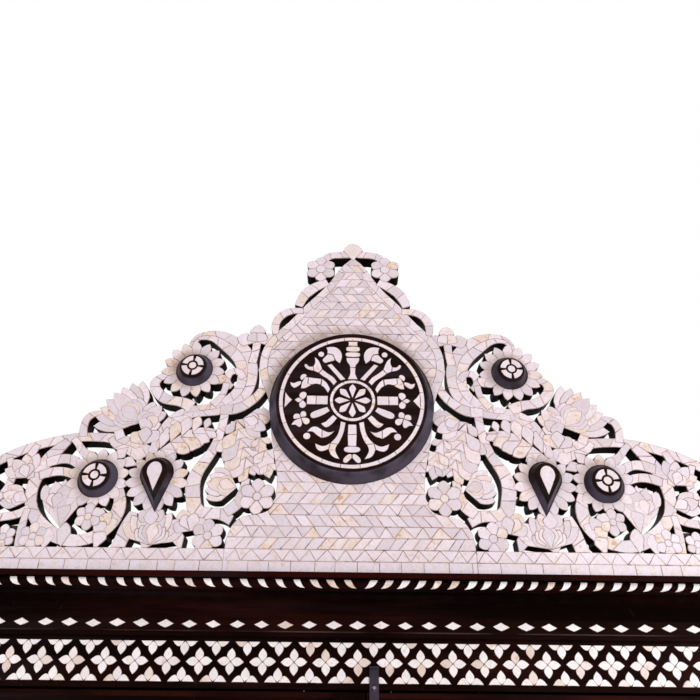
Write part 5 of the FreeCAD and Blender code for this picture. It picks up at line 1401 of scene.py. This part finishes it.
def rope_copies(leaf, chance):
    """Leaves along the half-round: two runs that part in front, and one on each side of the case."""
    radius, height = (ROUND_TOP - ROUND_FOOT) / 2, (ROUND_TOP + ROUND_FOOT) / 2
    reach = CASE_HALF + (CASE_FACE - ROUND_NOSE)
    copies = []
    for mirror in (False, True):
        sign = 1 if mirror else -1
        x = ROPE_MIDDLE + sign * ROPE_PARTING
        while abs(x) < reach - ROPE_END:
            place = spot(x, ROUND_NOSE + radius, height, mirror=mirror)
            copies.append((leaf, scaled(place, chance.uniform(*ROPE_SCALES), 1.0)))
            x += sign * ROPE_PITCHES[mirror] * chance.uniform(*ROPE_SPACINGS)
    for sign, facing in CASE_SIDES:
        y = ROUND_NOSE + ROPE_END
        while y < CASE_BACK - ROPE_BACK_END:
            copies.append((leaf, spot(sign * (reach - radius), y, height, mirror=sign > 0, facing=facing)))
            y += ROPE_PITCHES[True] * chance.uniform(*ROPE_SIDE_SPACINGS)
    return copies


def diamond_copies(diamond, chance):
    """Diamonds along the fascia, set by hand in front and evenly on the sides of the case."""
    height, reach = BED_FOOT + DIAMOND_HEIGHT, CASE_HALF + FASCIA_DEPTH
    shift, drop = DIAMOND_SHIFTS
    copies = []
    count = int(reach / DIAMOND_PITCH)
    for k in range(-count, count + 1):
        x = DIAMOND_START + k * DIAMOND_PITCH + chance.uniform(-shift, shift)
        if abs(x) < reach - DIAMOND_END:
            place = spot(x, CASE_FACE - FASCIA_DEPTH, height + chance.uniform(-drop, drop),
                         chance.uniform(-DIAMOND_TURN, DIAMOND_TURN))
            copies.append((diamond, scaled(place, chance.uniform(*DIAMOND_SCALES))))
    for sign, facing in CASE_SIDES:
        for k in range(int((CASE_BACK - CASE_FACE) / DIAMOND_PITCH)):
            y = CASE_FACE + DIAMOND_END + k * DIAMOND_PITCH
            copies.append((diamond, spot(sign * reach, y, height, facing=facing)))
    return copies


def medallion_cuts():
    """The medallion's outlines, each with the places of its copies."""
    middle = CREST_FOOT + MEDALLION_SHARE * CREST_RISE
    across, up = MEDALLION_SHIFT
    both = [scaled(spot(across, MEDALLION_FACE, middle + up, mirror=mirror), MEDALLION_STRETCH)
            for mirror in (False, True)]
    cuts = []
    for edge in MEDALLION_MIDDLE:
        left = [(-corner[0], *corner[1:]) for corner in reversed(edge)]
        cuts.append((eased(edge + left), both[:1]))
    cuts += [(eased(outline), both) for outline in MEDALLION_RIGHT]
    cuts += [(circle((x, z), radius, 16), both) for x, z, radius in MEDALLION_DOTS]
    for ring, count, x, z in ((MEDALLION_RIM, MEDALLION_RIM_COUNT, 0.0, middle),
                              (MEDALLION_EYE, MEDALLION_EYE_COUNT, across, middle + up)):
        step = 360 / count
        cuts.append((ring_segment(*ring, 0, step - SEGMENT_GAP_ANGLE),
                     [spot(x, MEDALLION_FACE, z, step * k + SEGMENT_START_ANGLE) for k in range(count)]))
    cuts.append((eased(EIGHT_PETAL, 1),
                 [spot(across, MEDALLION_FACE, middle + up, 45 * k) for k in range(8)]))
    return cuts


def framed(diamond, dot, low, high, face):
    """Diamonds along the four sides of a field, with a dot at each corner."""
    copies = []
    for x in (low[0], high[0]):
        count = round((high[1] - low[1]) / BORDER_PITCH)
        step = (high[1] - low[1]) / count
        copies += [(diamond, spot(x, face, low[1] + step * (k + 0.5), 90)) for k in range(count)]
        copies += [(dot, scaled(spot(x, face, z), CORNER_DOT)) for z in (low[1], high[1])]
    for z in (low[1], high[1]):
        count = round((high[0] - low[0]) / BORDER_PITCH)
        step = (high[0] - low[0]) / count
        copies += [(diamond, spot(low[0] + step * (k + 0.5), face, z)) for k in range(count)]
    return copies


def rosette(pieces, place, size):
    """Eight petals round a dot, within a ring."""
    petal_piece, segment, dot = pieces
    copies = [(dot, scaled(place, size))]
    copies += [(petal_piece, scaled(place @ spot(0, 0, 0, 45 * k), size)) for k in range(8)]
    copies += [(segment, scaled(place @ spot(0, 0, 0, 22.5 * k), size)) for k in range(16)]
    return copies


def rosette_pieces():
    """The petal, the ring segment and the dot of a rosette."""
    eight = [(x, z + ROSETTE_EYE + ROSETTE_GAP) for x, z in flower_petal(*ROSETTE_PETAL)]
    return [cut_piece("rosette_petal", eight),
            cut_piece("rosette_ring", ring_segment(*ROSETTE_RING, 0, ROSETTE_SEGMENT_ANGLE)),
            cut_piece("rosette_dot", circle((0.0, 0.0), ROSETTE_EYE, 16))]


# Finishes of the solids

def grain_way(name):
    """The way of the grain in a wooden solid: as its name tells, or along its longest side."""
    for way, endings in GRAIN_ENDINGS.items():
        if name.endswith(endings):
            return way
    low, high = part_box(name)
    spans = high - low
    return list(GRAIN_WAYS)[max(range(3), key=lambda axis: spans[axis])]


def highlight_stretch(name):
    """The two heights between which a solid has a painted highlight, with its colour there, or None."""
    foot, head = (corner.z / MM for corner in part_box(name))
    # Painted highlights: the fascia's lower arris, the cap's front edge and the top of the doors, where light
    # catches them.
    if name == "cornice_bed_front":
        return foot + BEAD_HEIGHT, foot + BEAD_HEIGHT + ARRIS_HEIGHT, ARRIS_HIGHLIGHT
    if name == "cornice_cap":
        return foot + CAP_EDGE, head - CAP_EDGE, CAP_HIGHLIGHT
    if name.endswith(("_door_rails", "_door_stiles")):
        return head - DOOR_HEAD[0], head - DOOR_HEAD[1], DOOR_HEAD_HIGHLIGHT
    return None


def solid_finish(name, slot, sizes):
    """The wood or metal of one solid, made anew unless an earlier run has made it."""
    own = bpy.data.materials.get(f"{name}_wood")
    if own:
        return own
    way, highlight = grain_way(name), highlight_stretch(name)
    # A solid with a painted highlight gets a wood of its own.
    if highlight:
        return highlighted_wood(name, way, sizes.dark, sizes.glint, *highlight)
    if slot == "dark_wood":
        return polished_wood(f"dark_wood_{way}", way, sizes.dark, sizes.glint)
    if slot == "inner_wood":
        return polished_wood(f"inner_wood_{way}", way, [c * 0.62 for c in sizes.inner], sizes.inner,
                             gloss=(0.55, 0.75), shine=0.35)
    if slot == "crest_wood":
        return polished_wood("crest_edge_wood", "upright", [c * 1.1 for c in sizes.dark],
                             [c * 0.55 for c in sizes.glint], gloss=(0.42, 0.6), shine=0.014)
    if slot == "iron":
        return metal_material("black_iron", sizes.iron, metallic=0.55, gloss=(0.5, 0.72))
    if name == "strap_rivets":
        return metal_material("rivet_steel", [c * 7 for c in sizes.steel], metallic=0.9, gloss=(0.3, 0.4))
    if slot == "steel":
        return metal_material("strap_steel", sizes.steel, metallic=0.9, gloss=(0.34, 0.55))
    return turned_wood(name, sizes.dark, sizes.glint)


class ARMOIRE_OT_timber(bpy.types.Operator):
    """Gives every solid of the armoire its wood or metal"""

    bl_idname = "armoire.timber"
    bl_label = "Woods and metals"

    def execute(self, context):
        slots = {row["node"]: row["material_slot"] for row in frame["record"]["subparts"]}
        for name, solid in frame["nodes"].items():
            finish = solid_finish(name, slots[name], context.scene.armoire_timber)
            for holder in solid.material_slots:
                holder.material = finish
        return {"FINISHED"}


class ARMOIRE_OT_crest_mosaic(bpy.types.Operator):
    """Faces the three boards of the crest with fitted tesserae"""

    bl_idname = "armoire.crest_mosaic"
    bl_label = "Crest mosaic"

    def execute(self, context):
        chance = random.Random(41)
        foot_half = FIELD_SHARES[-1][0] * CREST_HALF
        field, finial = field_outline(), centre_forms()
        rows = field_rows(chance)
        layers = [([field], None), (rows + border_pieces(), field), (finial, None),
                  (base_rows(-foot_half, foot_half, chance), None)]
        voids = [circle((0.0, MEDALLION_SHARE * CREST_RISE), MEDALLION_RADIUS + VOID_CLEARANCE, 96)]
        settle(mosaic_object("crest_centre_mosaic", *fitted_pieces(layers, voids), chance), "case")

        wing = wing_forms() + base_rows(foot_half, CREST_HALF, chance)
        voids = [field] + finial + [teardrop_outline(-VOID_CLEARANCE)]
        voids += [circle(crest_place(*share), BOSS_RADIUS + VOID_CLEARANCE) for share in BOSS_SHARES]
        places, pieces = fitted_pieces([(wing, None)], voids)
        settle(mosaic_object("crest_right_mosaic", places, pieces, chance), "case")
        places = [Vector((-place.x, place.y)) for place in places]
        pieces = [piece[::-1] for piece in pieces]
        settle(mosaic_object("crest_left_mosaic", places, pieces, chance), "case")
        return {"FINISHED"}


class ARMOIRE_OT_boss_inlay(bpy.types.Operator):
    """Inlays the medallion, the four bosses and the two teardrops"""

    bl_idname = "armoire.boss_inlay"
    bl_label = "Medallion and bosses"

    def execute(self, context):
        chance = random.Random(23)
        patterns, copies = [], []
        for outline, places in medallion_cuts():
            patterns.append(cut_piece("pearl", outline, "shell"))
            copies += [(patterns[-1], place) for place in places]
        set_copies("medallion_inlay", "case", copies, chance)

        dot = cut_piece("dot", circle((0.0, 0.0), BOSS_DOT, 16), "shell")
        quarter = ring_segment(*BOSS_SEGMENT, BOSS_GAP_ANGLE, 90 - BOSS_GAP_ANGLE)
        segment = cut_piece("segment", quarter, "shell")
        copies = []
        for across, up in BOSS_SHARES:
            for side in (-1, 1):
                x, z = crest_place(side * across, up)
                turn = chance.uniform(-BOSS_TURN, BOSS_TURN)
                copies.append((dot, spot(x, BOSS_FACE, CREST_FOOT + z)))
                copies += [(segment, spot(x, BOSS_FACE, CREST_FOOT + z, 90 * k + turn)) for k in range(4)]
        set_copies("boss_inlay", "case", copies, chance)

        centre = crest_place(*TEARDROP_SHARES)
        slim = [[home + (value - home) * share for value, home, share in zip(place, centre, DROP_SLIMMING)]
                for place in teardrop_outline(DROP_INSET)]
        drop = cut_piece("drop", slim, "shell")
        copies = [(drop, spot(0.0, TEARDROP_FACE, CREST_FOOT, mirror=mirror)) for mirror in (False, True)]
        set_copies("teardrop_inlay", "case", copies, chance)
        clear_away(patterns + [dot, segment, drop])
        return {"FINISHED"}


class ARMOIRE_OT_cornice_inlay(bpy.types.Operator):
    """Sets the rope of leaves on the half-round and the diamonds on the fascia"""

    bl_idname = "armoire.cornice_inlay"
    bl_label = "Cornice inlay"

    def execute(self, context):
        chance = random.Random(7)
        leaf = rope_leaf()
        set_copies("cornice_rope", "case", rope_copies(leaf, chance), chance)
        diamond = cut_piece("diamond", DIAMOND)
        set_copies("fascia_diamonds", "case", diamond_copies(diamond, chance), chance)
        clear_away([leaf, diamond])
        return {"FINISHED"}


class ARMOIRE_OT_frieze_inlay(bpy.types.Operator):
    """Sets the lattice of four-petal flowers on the frieze"""

    bl_idname = "armoire.frieze_inlay"
    bl_label = "Frieze inlay"

    def execute(self, context):
        chance = random.Random(19)
        upright = cut_piece("upright_petal", flower_petal(*UPRIGHT_PETAL))
        level = cut_piece("level_petal", flower_petal(*LEVEL_PETAL))
        border = cut_piece("border_petal", flower_petal(*BORDER_PETAL))
        half = cut_piece("half_petal", HALF_PETAL)
        low, high = (FRIEZE_FOOT + height for height in FLOWER_ROWS)
        copies = []
        count = int(CASE_HALF / FLOWER_PITCH) + 1
        for k in range(-count, count + 1):
            x = FLOWER_START + k * FLOWER_PITCH + chance.uniform(-FLOWER_SHIFT, FLOWER_SHIFT)
            if abs(x) < CASE_HALF - FLOWER_END:
                turn = chance.uniform(-FLOWER_TURN, FLOWER_TURN)
                for quarter in range(4):
                    copies.append((level if quarter % 2 else upright,
                                   spot(x, CASE_FACE, (low + high) / 2, 90 * quarter + turn)))
            x += FLOWER_PITCH / 2
            if abs(x) < CASE_HALF - FLOWER_END:
                for height, turn, scales in ((low, 0, (1.0, 1.0)), (high, 180, HEAD_ROW_SCALES)):
                    copies.append((border, spot(x, CASE_FACE, height, turn)))
                    copies += [(half, scaled(spot(x, CASE_FACE, height, turn, mirror=mirror), *scales))
                               for mirror in (False, True)]
        set_copies("frieze_flowers", "case", copies, chance)
        clear_away([upright, level, border, half])
        return {"FINISHED"}


class ARMOIRE_OT_door_inlay(bpy.types.Operator):
    """Sets a border, a rosette and small flowers on the fields of the door panels"""

    bl_idname = "armoire.door_inlay"
    bl_label = "Door inlay"

    def execute(self, context):
        chance = random.Random(31)
        diamond = cut_piece("diamond", DIAMOND)
        leaf = cut_piece("petal", flower_petal(*SMALL_PETAL))
        pieces = rosette_pieces()
        lower_head, upper_foot = (DOOR_FOOT + edge for edge in DOOR_MIDDLE_RAIL)
        groove = PANEL_MARGIN - PANEL_FIELD_STEP
        for side in ("left", "right"):
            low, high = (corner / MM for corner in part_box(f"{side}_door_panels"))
            first, last = low.x + PANEL_MARGIN, high.x - PANEL_MARGIN
            middle = (first + last) / 2
            fields = ((low.z + PANEL_MARGIN, lower_head - PANEL_MARGIN + groove),
                      (upper_foot + PANEL_MARGIN - groove, high.z - PANEL_MARGIN))
            copies = []
            for (foot, head), size in zip(fields, DOOR_ROSETTES):
                copies += framed(diamond, pieces[-1], (first + BORDER_INSET, foot + BORDER_INSET),
                                 (last - BORDER_INSET, head - BORDER_INSET), low.y)
                centre = (foot + head) / 2
                copies += rosette(pieces, spot(middle, low.y, centre), size)
                rise = (head - foot) / 2 - BORDER_INSET
                for way in (-1, 1):
                    gap = ROSETTE_RING[1] * size + SMALL_FLOWER_GAP
                    while gap < rise - SMALL_FLOWER_GAP:
                        copies += [(leaf, spot(middle, low.y, centre + way * gap, 90 * k)) for k in range(4)]
                        gap += SMALL_FLOWER_PITCH
            set_copies(f"{side}_door_inlay", f"{side}_door", copies, chance)
        clear_away([diamond, leaf, *pieces])
        return {"FINISHED"}


class ARMOIRE_OT_drawer_inlay(bpy.types.Operator):
    """Sets a border, a rosette and rings of petals round the knobs on the drawer fronts"""

    bl_idname = "armoire.drawer_inlay"
    bl_label = "Drawer inlay"

    def execute(self, context):
        chance = random.Random(37)
        diamond = cut_piece("diamond", DIAMOND)
        leaf = cut_piece("petal", [(x, z + KNOB_RING) for x, z in flower_petal(*SMALL_PETAL)])
        pieces = rosette_pieces()
        for side in ("left", "right"):
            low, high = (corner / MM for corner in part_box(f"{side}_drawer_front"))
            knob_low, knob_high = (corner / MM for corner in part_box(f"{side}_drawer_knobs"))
            radius = (knob_high.z - knob_low.z) / 2
            middle, centre = (low.x + high.x) / 2, (low.z + high.z) / 2
            copies = framed(diamond, pieces[-1], (low.x + BORDER_INSET, low.z + BORDER_INSET),
                            (high.x - BORDER_INSET, high.z - BORDER_INSET), low.y)
            copies += rosette(pieces, spot(middle, low.y, centre), DRAWER_ROSETTE)
            for x in (knob_low.x + radius, knob_high.x - radius):
                copies += [(leaf, spot(x, low.y, (knob_low.z + knob_high.z) / 2, 45 * k)) for k in range(8)]
            set_copies(f"{side}_drawer_inlay", f"{side}_drawer", copies, chance)
        clear_away([diamond, leaf, *pieces])
        return {"FINISHED"}


# Studio

def looked_at(tree):
    """One where a ray comes from the camera, a reflection or glass, and nothing for light on the object."""
    rays = node(tree, "ShaderNodeLightPath")
    return reckon(tree, "MAXIMUM", rays.outputs["Is Camera Ray"],
                  reckon(tree, "MAXIMUM", rays.outputs["Is Glossy Ray"], rays.outputs["Is Transmission Ray"]))


def surround(level):
    """A world that is white to the eye and lights the object at the given level."""
    world = bpy.data.worlds.new("surround")
    world.use_nodes = True
    tree = world.node_tree
    shine = tree.nodes["Background"]
    shine.inputs["Color"].default_value = WHITE
    tree.links.new(spread(tree, looked_at(tree), 0.0, 1.0, level, 1.0), shine.inputs["Strength"])
    return world


def floor_material(colour):
    """A pale floor that fades into the white surround far away."""
    material, tree, shader = blank_material("pale_floor")
    place = object_place(tree)
    clouded = mixed(tree, noise(tree, place, 3.0, 4.0), opaque(colour), opaque([c * 0.97 for c in colour]))
    tree.links.new(clouded, shader.inputs["Base Color"])
    shader.inputs["Roughness"].default_value = 0.7
    away = distance(tree, place, (0.0, 0.0, 0.0))
    fade = reckon(tree, "MULTIPLY", spread(tree, away, *FLOOR_FADE), looked_at(tree))
    white = node(tree, "ShaderNodeEmission", {"Color": WHITE, "Strength": 1.0})
    surface = node(tree, "ShaderNodeMixShader", {0: fade, 1: shader.outputs["BSDF"],
                                                 2: white.outputs["Emission"]}).outputs["Shader"]
    tree.links.new(surface, tree.nodes["Material Output"].inputs["Surface"])
    return material


def square_lamp(name, level, place, aim, breadth):
    light = bpy.data.lights.new(name, "AREA")
    light.energy = level
    light.shape = "SQUARE"
    light.size = breadth
    lamp = linked(name, light)
    lamp.location = place
    lamp.rotation_euler = (Vector(aim) - Vector(place)).to_track_quat("-Z", "Y").to_euler()


class ARMOIRE_OT_stage(bpy.types.Operator):
    """Lays the floor and sets the lamps, the white surround and the camera"""

    bl_idname = "armoire.stage"
    bl_label = "Floor, light and camera"

    def execute(self, context):
        scene = context.scene
        sizes = scene.armoire_studio
        scene.view_settings.view_transform = "Standard"
        scene.world = surround(sizes.sky)
        alone()
        bpy.ops.mesh.primitive_plane_add(size=FLOOR_SPAN, enter_editmode=True)
        bpy.ops.mesh.subdivide(number_cuts=3)
        bpy.ops.object.mode_set(mode="OBJECT")
        floor = context.object
        floor.name = "floor"
        floor.data.materials.append(floor_material(sizes.floor))
        for name, level in (("key", sizes.key), ("fill", sizes.fill)):
            square_lamp(name, level, *LAMPS[name])
        camera = linked("camera", bpy.data.cameras.new("camera"))
        camera.data.sensor_width = 36.0
        camera.data.lens = sizes.lens
        camera.matrix_world = (Matrix.Translation(sizes.eye)
                               @ Matrix.Rotation(math.radians(90) + sizes.tilt, 4, "X")
                               @ Matrix.Rotation(sizes.roll, 4, "Z"))
        scene.camera = camera
        return {"FINISHED"}


class ARMOIRE_PT_sidebar(bpy.types.Panel):
    """Lists the steps that dress the armoire"""

    bl_label = "Inlaid armoire"
    bl_space_type = "VIEW_3D"
    bl_region_type = "UI"
    bl_category = "Armoire"

    def draw(self, context):
        scene = context.scene
        for settings in (scene.armoire_shell, scene.armoire_timber, scene.armoire_studio):
            box = self.layout.box()
            for key in settings.__annotations__:
                box.prop(settings, key)
        for step in STEPS:
            self.layout.operator(step.bl_idname)


SETTINGS = {"armoire_shell": ArmoireShell, "armoire_timber": ArmoireTimber, "armoire_studio": ArmoireStudio}
STEPS = (ARMOIRE_OT_stage, ARMOIRE_OT_timber, ARMOIRE_OT_crest_mosaic, ARMOIRE_OT_boss_inlay,
         ARMOIRE_OT_cornice_inlay, ARMOIRE_OT_frieze_inlay, ARMOIRE_OT_door_inlay, ARMOIRE_OT_drawer_inlay)


def register():
    for kind in (*SETTINGS.values(), *STEPS, ARMOIRE_PT_sidebar):
        bpy.utils.register_class(kind)
    for key, kind in SETTINGS.items():
        setattr(bpy.types.Scene, key, bpy.props.PointerProperty(type=kind))


def unregister():
    for key in SETTINGS:
        delattr(bpy.types.Scene, key)
    for kind in reversed((*SETTINGS.values(), *STEPS, ARMOIRE_PT_sidebar)):
        bpy.utils.unregister_class(kind)


def main():
    register()
    for step in STEPS:
        getattr(bpy.ops.armoire, step.bl_idname.split(".")[1])()


if __name__ == "__main__":
    main()
